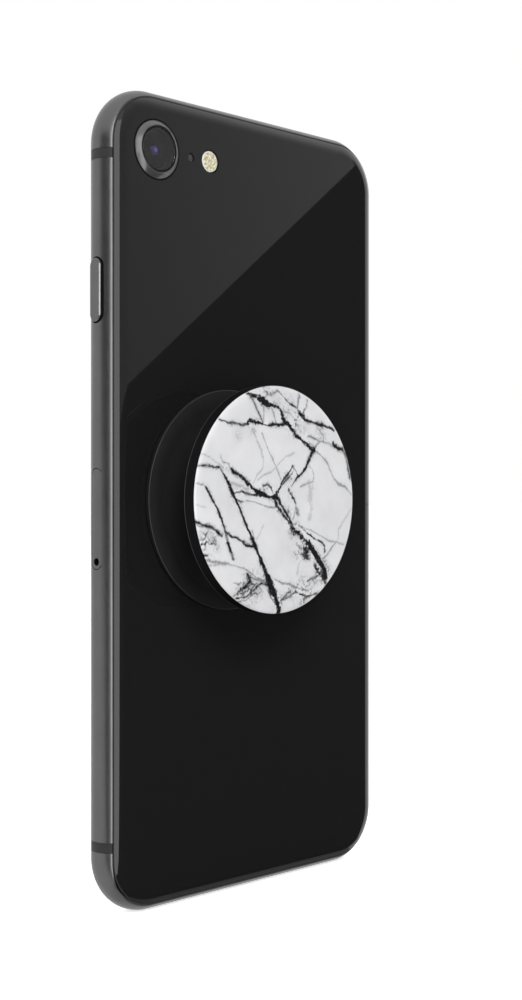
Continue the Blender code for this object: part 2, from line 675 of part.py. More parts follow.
def button_places():
    """Name, side and height of each push button."""
    return (
        ("side_button", -1, SIDE_BUTTON_Y),
        ("volume_up_button", 1, VOLUME_UP_Y),
        ("volume_down_button", 1, VOLUME_DOWN_Y),
    )


def make_buttons():
    """Push buttons with an inner flange, and the switch that each one works."""
    for name, side, y in button_places():
        outer = HALF_WIDTH + BUTTON_PROUD
        flange_outer = INNER_X - FIT_GAP
        flange_inner = flange_outer - FLANGE_THICKNESS
        middle = (outer + flange_inner) / 2
        place = (side * middle, y, MID)
        button = slot(name, BUTTON_LENGTH, BUTTON_HEIGHT, outer - flange_inner, place, "x")
        button = piece(bevel(button, BUTTON_EDGE, 2), ANODISED)
        length = BUTTON_LENGTH + 2 * FLANGE_OVERLAP
        flange_place = (side * (flange_outer + flange_inner) / 2, y, MID)
        join(button, tool(slot(f"{name}_flange", length, BUTTON_HEIGHT, FLANGE_THICKNESS, flange_place, "x")))
        tip = flange_inner - BUTTON_TRAVEL - FIT_GAP
        make_switch(name.replace("button", "switch"), side, y, tip)


def make_switch(name, side, y, tip):
    """Switch standing on the floor, with its plunger behind the button's flange."""
    back = tip - PLUNGER_LENGTH
    across = sorted((side * back, side * (back - SWITCH_THICKNESS)))
    along = (y - SWITCH_LENGTH / 2, y + SWITCH_LENGTH / 2)
    switch = piece(block(name, across, along, (BEHIND_DISPLAY, ON_FLOOR)), BLACK_PLASTIC)
    place = [(side * (tip - (PLUNGER_LENGTH + SEAT_GAP) / 2), y, MID)]
    join(switch, tool(rods(f"{name}_plunger", PLUNGER_RADIUS, PLUNGER_LENGTH + SEAT_GAP, place, "x")))


def make_ring_switch():
    """Ring and silent lever, at its ring position towards the display, and its body."""
    outer = HALF_WIDTH + RING_LEVER_PROUD
    flange_outer = INNER_X - FIT_GAP
    flange_inner = flange_outer - FLANGE_THICKNESS
    z = MID - RING_TRAVEL / 2
    place = ((outer + flange_inner) / 2, RING_SWITCH_Y, z)
    lever = slot("ring_switch", RING_LEVER_LENGTH, RING_LEVER_HEIGHT, outer - flange_inner, place, "x")
    lever = piece(bevel(lever, BUTTON_EDGE, 2), ANODISED)
    length = RING_LEVER_LENGTH + 2 * FLANGE_OVERLAP
    flange_place = ((flange_outer + flange_inner) / 2, RING_SWITCH_Y, z)
    join(lever, tool(slot("ring_flange", length, RING_LEVER_HEIGHT, FLANGE_THICKNESS, flange_place, "x")))
    back = flange_inner - INNER_GAP
    along = (RING_SWITCH_Y - SWITCH_LENGTH / 2, RING_SWITCH_Y + SWITCH_LENGTH / 2)
    across = (back - RING_BODY_DEPTH, back)
    piece(block("ring_switch_body", across, along, (BEHIND_DISPLAY, ON_FLOOR)), BLACK_PLASTIC)


def make_sim_parts():
    """SIM tray with its face flush in the band, the reader around it and the ejector behind it."""
    tray = piece(body("sim_tray"), ANODISED)
    middle = (-HALF_WIDTH + TRAY_FACE_INNER - CLEAR) / 2
    depth = TRAY_FACE_INNER + HALF_WIDTH + CLEAR
    keep(tray, tool(slot("tray_face", TRAY_FACE_LENGTH, TRAY_FACE_HEIGHT, depth, (middle, TRAY_Y, MID), "x")))
    half = TRAY_THICKNESS / 2
    across = (TRAY_FACE_INNER - SEAT_GAP, TRAY_END)
    join(tray, tool(block("tray_plate", across, (PLATE_LOW, PLATE_HIGH), (MID - half, MID + half))))
    card_middle = (PLATE_LOW + PLATE_HIGH) / 2
    card = ((TRAY_END - TRAY_EDGE_ROOM - CARD_LENGTH, TRAY_END - TRAY_EDGE_ROOM),
            (card_middle - CARD_WIDTH / 2, card_middle + CARD_WIDTH / 2),
            (MID + half - CARD_DEPTH, MID + half + CLEAR))
    cut(tray, tool(block("card_pocket", *card)))
    hole = [(-HALF_WIDTH, PIN_HOLE_Y, MID)]
    cut(tray, tool(rods("pin_hole", PIN_HOLE_RADIUS, 2 * (TRAY_FACE_DEPTH + CLEAR), hole, "x")))

    opening = half + INNER_GAP / 2
    reader_x = (-INNER_X + INNER_GAP, TRAY_END - INNER_GAP)
    reader_y = (PLATE_LOW - INNER_GAP / 2, PLATE_HIGH + INNER_GAP / 2 + READER_SIDE)
    reader_z = (MID - opening - READER_WALL, ON_BOARD)
    reader = piece(block("sim_reader", reader_x, reader_y, reader_z), STEEL)
    way = ((-HALF_WIDTH, TRAY_END + CLEAR), (PLATE_LOW - CLEAR, PLATE_HIGH + INNER_GAP / 2))
    cut(reader, tool(block("reader_way", *way, (MID - opening, MID + opening))))

    rod_y = (PIN_HOLE_Y - EJECT_ROD_WIDTH / 2, PIN_HOLE_Y + EJECT_ROD_WIDTH / 2)
    rod_x = (-INNER_X + INNER_GAP, TRAY_END + INNER_GAP)
    piece(block("eject_rod", rod_x, rod_y, (MID - half, MID + half)), STEEL)
    lever_x = (LEVER_LEFT, LEVER_LEFT + EJECT_LEVER_WIDTH)
    lever_y = (rod_y[0], rod_y[0] + 2 * EJECT_ARM)
    lever = piece(block("eject_lever", lever_x, lever_y, (MID - half, MID + half)), STEEL)
    pivot = (sum(lever_x) / 2, sum(lever_y) / 2)
    height = ON_BOARD - MID
    post = [(*pivot, MID + height / 2)]
    join(lever, tool(rods("eject_pivot", EJECT_LEVER_WIDTH / 2 - SEAT_GAP, height, post, "z")))


def make_camera():
    """Rear camera: bezel seated on the frame's floor, window on the bezel's shelf, barrel in its module."""
    top = BEZEL_RISE
    shelf = top - WINDOW_RECESS - WINDOW_THICKNESS - SEAT_GAP
    seat = FRAME_BACK + SEAT_GAP - PHONE_THICKNESS
    bore = WINDOW_RADIUS - WINDOW_SHELF
    profile = [(WINDOW_RADIUS + FIT_GAP, top), (WINDOW_RADIUS + FIT_GAP + BEZEL_LIP, top)]
    profile += arc(BEZEL_RADIUS - BEZEL_ROUND, BEZEL_EDGE, BEZEL_ROUND, 60, 0, 3)
    profile += [(BEZEL_RADIUS, SEAT_GAP), (BEZEL_SHANK_RADIUS, SEAT_GAP), (BEZEL_SHANK_RADIUS, seat)]
    profile += [(bore, seat), (bore, shelf), (WINDOW_RADIUS + FIT_GAP, shelf)]
    piece(turned("camera_bezel", profile, RING_STEPS, closed=True), ANODISED_DARK, CAMERA_AXIS)
    low = shelf + SEAT_GAP
    window = disc("camera_window", WINDOW_RADIUS, low, low + WINDOW_THICKNESS, RING_STEPS)
    piece(window, BLACK_GLASS, CAMERA_AXIS)

    floor = ON_FLOOR - PHONE_THICKNESS
    half = CAMERA_MODULE_SIZE / 2
    module = block("camera_module", (-half, half), (-half, half), (floor - MODULE_DEPTH, floor))
    module = piece(bevel(module, MODULE_EDGE), BLACK_PLASTIC, CAMERA_AXIS)
    well = floor - BARREL_WELL_DEPTH
    cut(module, tool(disc("barrel_well", BARREL_RADIUS + FIT_GAP, well, floor + CLEAR), CAMERA_AXIS))
    barrel_top = shelf - FOCUS_TRAVEL - INNER_GAP
    throat = barrel_top - APERTURE_RADIUS / 2
    profile = [(0.0, throat), (APERTURE_RADIUS, throat), (2 * APERTURE_RADIUS, barrel_top)]
    profile += [(BARREL_RADIUS, barrel_top), (BARREL_RADIUS, well + FIT_GAP), (0.0, well + FIT_GAP)]
    piece(turned("camera_barrel", profile, SMALL_STEPS), BLACK_PLASTIC, CAMERA_AXIS)


def make_flash_and_microphone():
    """Flash and rear microphone on a small board against the floor, under their openings in the glass."""
    top = PHONE_THICKNESS
    low = FRAME_BACK + SEAT_GAP
    lens = piece(disc("flash_lens", FLASH_RADIUS, low, top), CREAM_LENS)
    lens.location = (FLASH_X, CAMERA_Y, 0.0)
    half = FLASH_LED_SIZE / 2
    led_x = (FLASH_X - half, FLASH_X + half)
    led_y = (CAMERA_Y - half, CAMERA_Y + half)
    piece(block("flash_led", led_x, led_y, (FLOOR, FRAME_BACK)), CREAM_LENS)
    microphone = piece(disc("rear_microphone", REAR_MIC_BODY_RADIUS, FLOOR, low, TINY_STEPS), STEEL)
    microphone.location = (REAR_MIC_X, CAMERA_Y, 0.0)
    reach = max(half, REAR_MIC_BODY_RADIUS) + FLASH_BOARD_MARGIN
    left = max(REAR_MIC_X - reach, CAMERA_X + CAMERA_MODULE_SIZE / 2 + INNER_GAP)
    board = ((left, FLASH_X + reach), (CAMERA_Y - reach, CAMERA_Y + reach))
    piece(block("flash_board", *board, (ON_FLOOR - FLASH_BOARD_THICKNESS, ON_FLOOR)), BOARD_GREEN)


def make_display():
    """Display panel, its shield plate and its frame with the two screw tabs at the bottom edge."""
    outline = rounded(PANEL_WIDTH, PANEL_LENGTH, MODULE_CORNER, MODULE_STEPS)
    piece(plate("display_panel", outline, DISPLAY_INNER, PANEL_BACK), BLACK_PLASTIC)
    piece(plate("display_shield", outline, PANEL_BACK + SEAT_GAP, SHIELD_BACK), STEEL)

    low = DISPLAY_INNER
    outline = phone_outline(BAND_WALL + INNER_GAP)
    frame = piece(plate("display_frame", outline, low, low + DISPLAY_FRAME_HEIGHT), BLACK_PLASTIC)
    hollow = phone_outline(BAND_WALL + INNER_GAP + DISPLAY_FRAME_WALL)
    cut(frame, tool(plate("display_frame_hollow", hollow, low - CLEAR, PHONE_THICKNESS)))
    outer = -INNER_Y + INNER_GAP
    for name, side in (("left", -1), ("right", 1)):
        middle = side * SCREW_X
        tab_x = (middle - SCREW_TAB_WIDTH / 2, middle + SCREW_TAB_WIDTH / 2)
        tab_y = (outer, outer + SCREW_TAB_DEPTH)
        tab_z = (low, MID + SCREW_TAB_WIDTH / 2)
        join(frame, tool(block(f"{name}_screw_tab", tab_x, tab_y, tab_z)))
    places = [(side * SCREW_X, outer, MID) for side in (-1, 1)]
    cut(frame, tool(rods("tab_threads", SCREW_SHANK_RADIUS + SEAT_GAP, 4 * SCREW_TAB_DEPTH, places, "y")))


def make_home_button():
    """Solid-state home button with its ring, and the sensor behind it."""
    y = -HALF_LENGTH + HOME_FROM_END
    ring_inner = HOME_RADIUS + FIT_GAP
    ring_outer = ring_inner + HOME_RING_WALL
    low = SEAT_GAP
    profile = [(ring_inner, GLASS_RIM), (ring_outer, GLASS_RIM), (ring_outer, low), (ring_inner, low)]
    ring = piece(turned("home_ring", profile, RING_STEPS, closed=True), ANODISED_DARK)
    button = piece(disc("home_button", HOME_RADIUS, HOME_RECESS, GLASS_RIM, RING_STEPS), BLACK_GLASS)
    sensor = piece(
        disc("home_sensor", ring_outer, DISPLAY_INNER, DISPLAY_INNER + HOME_SENSOR_THICKNESS), BLACK_PLASTIC
    )
    for shape in (ring, button, sensor):
        shape.location = (0.0, y, 0.0)


def make_earpiece_and_front_camera():
    """Earpiece mesh in its slot, the speaker behind it and the front camera beside it."""
    y = HALF_LENGTH - EARPIECE_FROM_END
    height = EARPIECE_HEIGHT - 2 * FIT_GAP
    mesh = rounded(EARPIECE_LENGTH - 2 * FIT_GAP, height, height / 2, SLOT_STEPS)
    piece(plate("earpiece_mesh", mesh, EARPIECE_MESH_RECESS, GLASS_RIM, y=y), STEEL)
    low = DISPLAY_INNER
    speaker = rounded(EARPIECE_BOX_WIDTH, EARPIECE_BOX_LENGTH, MODULE_CORNER, MODULE_STEPS)
    piece(plate("earpiece_speaker", speaker, low, low + EARPIECE_BOX_DEPTH, y=y), BLACK_PLASTIC)
    camera = piece(disc("front_camera", FRONT_CAMERA_RADIUS, low, low + FRONT_CAMERA_DEPTH), BLACK_PLASTIC)
    camera.location = (FRONT_CAMERA_X, y, 0.0)


def make_bottom_row():
    """Charge port, loudspeaker, haptic motor, microphone and the two bottom screws."""
    against = -INNER_Y + SEAT_GAP
    low = DISPLAY_INNER + HOME_SENSOR_THICKNESS + INNER_GAP
    port_y = (against, against + PORT_BODY_LENGTH)
    port = piece(block("charge_port", (-PORT_BODY_X, PORT_BODY_X), port_y, (low, ON_FLOOR)), STEEL)
    mouth = (PORT_WIDTH - PORT_FRONT_WALL, PORT_HEIGHT - PORT_FRONT_WALL / 2)
    cut(port, tool(slot("port_mouth", *mouth, 2 * PORT_DEPTH, (0.0, against, MID), "y")))

    inner = PORT_BODY_X + INNER_GAP
    outer = INNER_X - BOTTOM_ROW_SIDE_ROOM
    across = (inner + outer) / 2
    middle = (BOTTOM_ROW_LOW + BOTTOM_ROW_HIGH) / 2
    depth = (ON_FLOOR - MODULE_DEPTH, ON_FLOOR)
    outline = rounded(outer - inner, BOTTOM_ROW_LENGTH, CORNER_RADIUS / 2, MODULE_STEPS)
    speaker = piece(plate("loudspeaker", outline, *depth, x=-across, y=middle), BLACK_PLASTIC)
    duct_x = (-GRILLE_LAST_X, -GRILLE_FIRST_X)
    duct = block("speaker_duct", duct_x, (against, middle), (MID - GRILLE_RADIUS, MID + GRILLE_RADIUS))
    join(speaker, tool(duct))
    piece(plate("haptic_motor", outline, *depth, x=across, y=middle), STEEL)
    mic_x = (GRILLE_FIRST_X + GRILLE_LAST_X) / 2
    mic_y = (against, BOTTOM_ROW_LOW - INNER_GAP)
    mic = ((mic_x - BOTTOM_MIC_WIDTH / 2, mic_x + BOTTOM_MIC_WIDTH / 2), mic_y)
    piece(block("bottom_microphone", *mic, depth), STEEL)
    for name, side in (("left", -1), ("right", 1)):
        make_bottom_screw(f"bottom_screw_{name}", side * SCREW_X)


def make_bottom_screw(name, x):
    """Screw through the bottom band into the display frame's tab, with a plain drive recess."""
    end = -INNER_Y + INNER_GAP + SCREW_TAB_DEPTH
    top = -HALF_LENGTH + SCREW_RECESS
    profile = [(0.0, SCREW_HEAD_HEIGHT / 2), (SCREW_HEAD_RADIUS / 2, 0.0), (SCREW_HEAD_RADIUS, 0.0)]
    profile += [(SCREW_HEAD_RADIUS, SCREW_HEAD_HEIGHT), (SCREW_SHANK_RADIUS, SCREW_HEAD_HEIGHT)]
    profile += [(SCREW_SHANK_RADIUS, end - top), (0.0, end - top)]
    screw = piece(turned(name, [(r, -z) for r, z in profile], TINY_STEPS), STEEL)
    screw.rotation_euler = (math.pi / 2, 0.0, 0.0)
    screw.location = (x, top, MID)


def make_power_and_board():
    """Battery, logic board with its cans and screws, and the charging coil in the floor's window."""
    x = (BATTERY_LEFT + BATTERY_RIGHT) / 2
    cell = rounded(BATTERY_WIDTH, BATTERY_LENGTH, MODULE_CORNER, MODULE_STEPS)
    y = (BATTERY_BOTTOM + BATTERY_TOP) / 2
    piece(plate("battery", cell, ON_FLOOR - BATTERY_THICKNESS, ON_FLOOR, x=x, y=y), CELL_BLACK)

    board_z = (BOARD_FRONT, BOARD_BACK)
    strip = block("logic_board", (BOARD_LEFT, BOARD_RIGHT), (BOARD_BOTTOM, BOARD_TOP), board_z)
    board = piece(strip, BOARD_GREEN)
    bar_x = (BOARD_RIGHT - CLEAR, BATTERY_RIGHT)
    join(board, tool(block("board_bar", bar_x, (BATTERY_TOP + INNER_GAP, BOARD_TOP), board_z)))
    places = board_screw_places()
    holes = [(px, py, BOARD_FRONT) for px, py in places]
    cut(board, tool(rods("board_holes", SCREW_SHANK_RADIUS + FIT_GAP, 4 * BOARD_THICKNESS, holes, "z")))
    for number, (px, py) in enumerate(places, 1):
        top = ON_BOARD
        end = FLOOR + FLOOR_THICKNESS / 4
        profile = [(0.0, end), (SCREW_SHANK_RADIUS, end), (SCREW_SHANK_RADIUS, top), (BOARD_SCREW_HEAD, top),
                   (BOARD_SCREW_HEAD, top - SCREW_HEAD_HEIGHT), (0.0, top - SCREW_HEAD_HEIGHT)]
        screw = piece(turned(f"board_screw_{number}", profile, TINY_STEPS), STEEL)
        screw.location = (px, py, 0.0)

    can_x = (BOARD_LEFT + CAN_EDGE_ROOM, BOARD_RIGHT - CAN_EDGE_ROOM)
    can_z = (ON_BOARD - CAN_HEIGHT, ON_BOARD)
    screw_room = BOARD_SCREW_INSET + BOARD_SCREW_HEAD + INNER_GAP
    upper_y = (PLATE_HIGH + READER_SIDE + CAN_EDGE_ROOM, BOARD_TOP - screw_room)
    lower_y = (BOARD_BOTTOM + screw_room, PIN_HOLE_Y - EJECT_ROD_WIDTH - CAN_EDGE_ROOM)
    for name, can_y in (("upper", upper_y), ("lower", lower_y)):
        can = block(f"shield_can_{name}", can_x, can_y, can_z)
        piece(bevel(can, MODULE_EDGE), STEEL)

    low = FLOOR + SEAT_GAP
    profile = [(COIL_BORE, low + COIL_THICKNESS), (COIL_RADIUS, low + COIL_THICKNESS), (COIL_RADIUS, low),
               (COIL_BORE, low)]
    piece(turned("charging_coil", profile, LARGE_STEPS, closed=True), COPPER)


def make_grip_base():
    """Adhesive pad and the dish-shaped base stuck on with it."""
    pad = disc("grip_pad", PAD_RADIUS, SEAT_GAP, SEAT_GAP + PAD_THICKNESS, LARGE_STEPS)
    piece(pad, BLACK_RUBBER, GRIP_AXIS)
    skirt = PAD_RADIUS + FIT_GAP
    slope = BASE_RIM_HEIGHT - BASE_EDGE_HEIGHT
    profile = [(0.0, BASE_TOP), (BASE_DISH_RADIUS, BASE_TOP)]
    profile += [(BASE_RIM_INNER, BASE_RIM_HEIGHT), (BASE_RADIUS - slope, BASE_RIM_HEIGHT)]
    profile += [(BASE_RADIUS, BASE_EDGE_HEIGHT), (BASE_RADIUS, FIT_GAP)]
    profile += [(skirt, FIT_GAP), (skirt, BASE_LOW), (0.0, BASE_LOW)]
    piece(turned("grip_base", profile), BLACK_PLASTIC, GRIP_AXIS)


def make_bellows():
    """Tapered flexible bellows from the base's dish to the hub's flange, with stepped folds."""
    low = BASE_TOP + SEAT_GAP
    high = HUB_LOW - SEAT_GAP
    rise = (high - low) / BELLOWS_FOLDS
    top_radius = HUB_FLANGE_RADIUS
    taper = (BELLOWS_FOOT_RADIUS - top_radius) / BELLOWS_FOLDS
    outer = [(top_radius, high)]
    for fold in range(BELLOWS_FOLDS - 1):
        z = high - (fold + 1) * rise
        radius = top_radius + (fold + 1) * taper
        outer.append((radius + BELLOWS_FOLD_DEPTH, z + BELLOWS_STEP * rise))
        outer.append((radius, z))
    outer += [(BELLOWS_FOOT_RADIUS, low + BELLOWS_STEP * rise), (BELLOWS_FOOT_RADIUS, low)]
    inner = [(radius - BELLOWS_WALL, z) for radius, z in reversed(outer)]
    piece(turned("grip_bellows", outer + inner, closed=True), BLACK_RUBBER, GRIP_AXIS)


def make_grip_top():
    """Hub with two bayonet lugs, the cap that locks over them and the printed face."""
    profile = [(0.0, HUB_TOP), (HUB_RADIUS, HUB_TOP), (HUB_RADIUS, FLANGE_TOP)]
    profile += [(HUB_FLANGE_RADIUS, FLANGE_TOP), (HUB_FLANGE_RADIUS, HUB_LOW), (0.0, HUB_LOW)]
    hub = piece(turned("grip_hub", profile), BLACK_PLASTIC, GRIP_AXIS)
    reach = HUB_RADIUS + LUG_REACH
    across = (-LUG_WIDTH / 2, LUG_WIDTH / 2)
    join(hub, tool(block("hub_lugs", across, (-reach, reach), (LUG_LOW, HUB_TOP - SEAT_GAP)), GRIP_AXIS))

    lip = HUB_RADIUS + INNER_GAP
    groove = math.hypot(reach, LUG_WIDTH / 2) + INNER_GAP
    groove_low = CAP_LOW + CAP_LIP_THICKNESS
    groove_high = CAP_TOP - CAP_ROOF
    profile = [(0.0, CAP_TOP), (CAP_RADIUS - CAP_EDGE / 2, CAP_TOP), (CAP_RADIUS, CAP_TOP - CAP_EDGE / 2)]
    profile += [(CAP_RADIUS, CAP_LOW + CAP_EDGE), (CAP_RADIUS - CAP_EDGE, CAP_LOW), (lip, CAP_LOW)]
    profile += [(lip, groove_low), (groove, groove_low), (groove, groove_high), (0.0, groove_high)]
    cap = piece(turned("grip_cap", profile), BLACK_PLASTIC, GRIP_AXIS)
    notch = LUG_WIDTH / 2 + INNER_GAP
    notch_reach = reach + INNER_GAP
    levels = (CAP_LOW - CLEAR, groove_low + SEAT_GAP)
    cut(cap, tool(block("cap_notches", (-notch_reach, notch_reach), (-notch, notch), levels), GRIP_AXIS))

    rounding = min(FACE_ROUND, FACE_THICKNESS)
    profile = [(0.0, GRIP_REACH)]
    profile += arc(FACE_RADIUS - rounding, GRIP_REACH - rounding, rounding, 90, 0, 3)
    if rounding < FACE_THICKNESS:
        profile += [(FACE_RADIUS, FACE_LOW)]
    profile += [(0.0, FACE_LOW)]
    piece(turned("grip_face", profile), WHITE_FACE, GRIP_AXIS)


def main():
    make_frame()
    make_antenna_inserts()
    make_cover_glasses()
    make_seals()
    make_buttons()
    make_ring_switch()
    make_sim_parts()
    make_camera()
    make_flash_and_microphone()
    make_display()
    make_home_button()
    make_earpiece_and_front_camera()
    make_bottom_row()
    make_power_and_board()
    make_grip_base()
    make_bellows()
    make_grip_top()


main()
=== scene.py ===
"""Looks for the smartphone with a collapsible grip: fine pieces over the CAD frame, a studio and the camera.

Pieces are modelled in the phone's flat frame in millimetres: x across the back, y along the phone, z from the
display face to the back. STAND then sets them upright in the row frame, in metres.
"""

import math

import bmesh
import bpy
import numpy as np
from mathutils import Matrix, Vector, noise


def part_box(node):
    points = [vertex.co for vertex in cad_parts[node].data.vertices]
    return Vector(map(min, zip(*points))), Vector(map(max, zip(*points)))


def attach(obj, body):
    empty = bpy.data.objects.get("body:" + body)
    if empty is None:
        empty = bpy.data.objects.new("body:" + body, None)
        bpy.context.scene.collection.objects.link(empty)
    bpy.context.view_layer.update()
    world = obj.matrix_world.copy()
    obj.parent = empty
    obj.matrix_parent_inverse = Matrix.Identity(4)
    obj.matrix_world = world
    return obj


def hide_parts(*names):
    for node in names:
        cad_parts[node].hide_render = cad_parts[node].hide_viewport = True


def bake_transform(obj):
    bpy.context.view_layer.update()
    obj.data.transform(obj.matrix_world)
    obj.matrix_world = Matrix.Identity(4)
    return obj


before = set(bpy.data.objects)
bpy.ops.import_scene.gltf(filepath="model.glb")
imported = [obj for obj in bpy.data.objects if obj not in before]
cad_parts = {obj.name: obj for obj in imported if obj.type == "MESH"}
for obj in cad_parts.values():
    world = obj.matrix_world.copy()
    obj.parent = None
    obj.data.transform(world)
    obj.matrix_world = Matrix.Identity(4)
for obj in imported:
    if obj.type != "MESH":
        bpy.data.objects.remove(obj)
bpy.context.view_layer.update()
SCENE = bpy.context.scene
MM = 0.001
QUARTER = math.pi / 2

# Places read from the frame
HALF_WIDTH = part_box("mid_frame")[1].x / MM
HALF_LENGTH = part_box("mid_frame")[1].z / MM / 2
DISPLAY_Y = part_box("display_glass")[1].y
THICKNESS = (DISPLAY_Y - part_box("back_glass")[0].y) / MM
MID = THICKNESS / 2
EDGE = THICKNESS / 2
LIFT = Matrix.Translation((0.0, DISPLAY_Y, HALF_LENGTH * MM))
STAND = LIFT @ Matrix.Rotation(QUARTER, 4, "X") @ Matrix.Scale(MM, 4)


class Node:
    """Corners, middle, size and radius of a CAD node in the flat frame."""

    def __init__(self, name):
        low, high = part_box(name)
        self.low = Vector((low.x / MM, low.z / MM - HALF_LENGTH, (DISPLAY_Y - high.y) / MM))
        self.high = Vector((high.x / MM, high.z / MM - HALF_LENGTH, (DISPLAY_Y - low.y) / MM))
        self.middle = (self.low + self.high) / 2
        self.size = self.high - self.low
        self.radius = self.size.x / 2
        self.at = (self.middle.x, self.middle.y)


FRAME_FRONT = Node("mid_frame").low.z
FRAME_BACK = Node("mid_frame").high.z
GLASS_INNER = Node("back_glass").low.z
CAMERA = Node("camera_bezel")
WINDOW = Node("camera_window")
FLASH = Node("flash_lens")
REAR_MIC = Node("rear_microphone")
GRIP = Node("grip_base")
BUTTONS = {"side_button": "side_button", "volume_up_button": "volume_up", "volume_down_button": "volume_down"}
SCREWS = ("bottom_screw_left", "bottom_screw_right")

# Steps of round shapes
CORNER_STEPS = 28
EDGE_STEPS = 20
ROUND = 128
SMALL_ROUND = 64
FINE_ROUND = 40

# Sizes of the fine shapes, in millimetres
CORNER_RADIUS = 10.0
BAND_WALL = 2.4
CHAMFER = 0.14
THROUGH = 3.0
SLOT_GAP = 0.10
GROOVE_GAP = 0.03
GROOVE_DEPTH = 0.70
GROOVE_SPREAD = 1.2
INSERT_SUNK = 0.012
INSERT_DEPTH = 0.68
GLASS_ARRIS = 0.05
SEAM_CLOSE = 0.085
SEAM_OPEN = 0.06
SEAL_CLEAR = 0.02
SEAL_SETBACK = 0.06
FLANGE_REACH = 1.4
FLANGE_DEPTH = 0.55
BUTTON_LENGTH = Node("side_button").size.y - FLANGE_REACH
BUTTON_HEIGHT = Node("side_button").size.z
BUTTON_GAP = 0.26
BUTTON_CHAMFER = 0.17
LEVER_LENGTH = Node("ring_switch").size.y - FLANGE_REACH
LEVER_HEIGHT = Node("ring_switch").size.z
LEVER_TRAVEL = 1.3
LEVER_EDGE = 0.24
STRIPE_SUNK = 0.12
PIN_HOLE_RADIUS = 0.63
PIN_HOLE_FROM_END = 1.2
TRAY_LEVELS = [(0.0, 2.0), (0.0, 0.10), (0.02, 0.03)]
TRAY_LEVELS += [(inset, 0.0) for inset in (0.06, 0.2, 0.45, 0.75, 1.02, 1.22)]
PLATE_HALF = 0.4
PLATE_START = 1.9
PLATE_MARGIN = 0.75
POCKET = (0.0, 12.3, 8.8)
POCKET_DEPTH = 0.55
POCKET_CORNER = 0.9
CARD_WINDOW = (2.2, 7.8, 5.8)
PORT_WIDTH = 8.2
PORT_HEIGHT = 2.3
CONTACTS = 8
CONTACT_PITCH = 0.78
GRILLE_RADIUS = 0.75
GRILLE_HOLES = 6
GRILLE_FIRST = 12.3
GRILLE_PITCH = 2.35
SCREW_RADIUS = 0.8
SCREW_LEVELS = ((0.0, 0.6), (0.0, 0.12), (0.05, 0.03), (0.13, 0.0))
STAR_RADIUS = 0.24
STAR_LOBE = 0.11
STAR_REACH = 0.27
STAR_DEPTH = 0.6
BEZEL_CREST = 4.03
BEZEL_GAP = 0.11
BEZEL_LIP = 0.13
PANE = 0.12
FLASH_GAP = 0.15
FLASH_EDGE = FLASH.radius - 0.08
MIC_RADIUS = 0.76
MIC_SUNK = 0.46
EYE_RADIUS = 1.15
EYE_DEPTH = 0.24
VEIN_REACH = 2.0
VEIN_BLUR = 0.09
VEIN_SEED = 3


# Shapes


def inset_at(level):
    """How far the round edge has drawn in from the outline at a level of z."""
    return EDGE - math.sqrt(max(EDGE**2 - (level - MID) ** 2, 0.0))


def sweep(start, end, steps):
    """Cosine and sine of angles in even steps from one angle to another."""
    return [(math.cos(angle), math.sin(angle)) for angle in np.linspace(start, end, steps + 1)]


def arc(centre, radius, start, end, steps):
    """Points of an arc, its angles counted from the first axis to the second."""
    return [(centre[0] + radius * c, centre[1] + radius * s) for c, s in sweep(start, end, steps)]


def corners(reach_a, reach_b, steps):
    """Corner centre and outward direction of each point round a rectangle with round corners."""
    places = []
    for quarter, (side_a, side_b) in enumerate(((1, 1), (-1, 1), (-1, -1), (1, -1))):
        for turn in sweep(quarter * QUARTER, (quarter + 1) * QUARTER, steps):
            places.append((side_a * reach_a, side_b * reach_b, *turn))
    return places


SPINE = corners(HALF_WIDTH - CORNER_RADIUS, HALF_LENGTH - CORNER_RADIUS, CORNER_STEPS)


def ring(inset, z):
    """The phone's outline, inset, at a level."""
    reach = CORNER_RADIUS - inset
    return [(x + dx * reach, y + dy * reach, z) for x, y, dx, dy in SPINE]


def skin(rings, closed, capped):
    """Mesh over rings of equal counts or single points, closed in a loop or capped at both ends."""
    builder = bmesh.new()
    loops = [[builder.verts.new(point) for point in points] for points in rings]
    pairs = list(zip(loops, loops[1:]))
    if closed:
        pairs.append((loops[-1], loops[0]))
    if capped:
        builder.faces.new(loops[0])
        builder.faces.new(loops[-1])
    count = max(len(loop) for loop in loops)
    for one, two in pairs:
        for k in range(count):
            n = (k + 1) % count
            around = (one[k % len(one)], one[n % len(one)], two[n % len(two)], two[k % len(two)])
            face = list(dict.fromkeys(around))
            if len(face) > 2:
                builder.faces.new(face)
    return builder


def loft(rings, closed=False):
    return skin(rings, closed, capped=not closed)


def band_loft(profile):
    """A closed profile of (inset, z) points led round the phone's outline."""
    return loft([ring(inset, z) for inset, z in profile], closed=True)


def turned(profile, centre, steps=ROUND, closed=False):
    """A profile of (radius, z) points turned about an axis along z."""
    turns = sweep(0.0, 2 * math.pi, steps)[:-1]
    rings = []
    for radius, z in profile:
        spots = turns if radius > 0.0 else turns[:1]
        rings.append([(centre[0] + radius * c, centre[1] + radius * s, z) for c, s in spots])
    return skin(rings, closed, capped=False)


def stack(length, height, levels, place, radius=None):
    """Rounded outlines, each inset and set at its own level, skinned and capped."""
    rings = []
    for inset, level in levels:
        corner = max((radius or height / 2) - inset, 0.02) * 0.999
        spots = corners(length / 2 - inset - corner, height / 2 - inset - corner, 12)
        rings.append([place(a + da * corner, b + db * corner, level) for a, b, da, db in spots])
    return loft(rings)


def on_side(side, y, z):
    """Puts an outline's length along y, its height along z and its level out from the phone's side."""
    return lambda a, b, level: (side * level, y + a, z + b)


def on_bottom(x, z):
    return lambda a, b, level: (x + a, -level, z + b)


def on_front(x, y):
    return lambda a, b, level: (x + a, y + b, level)


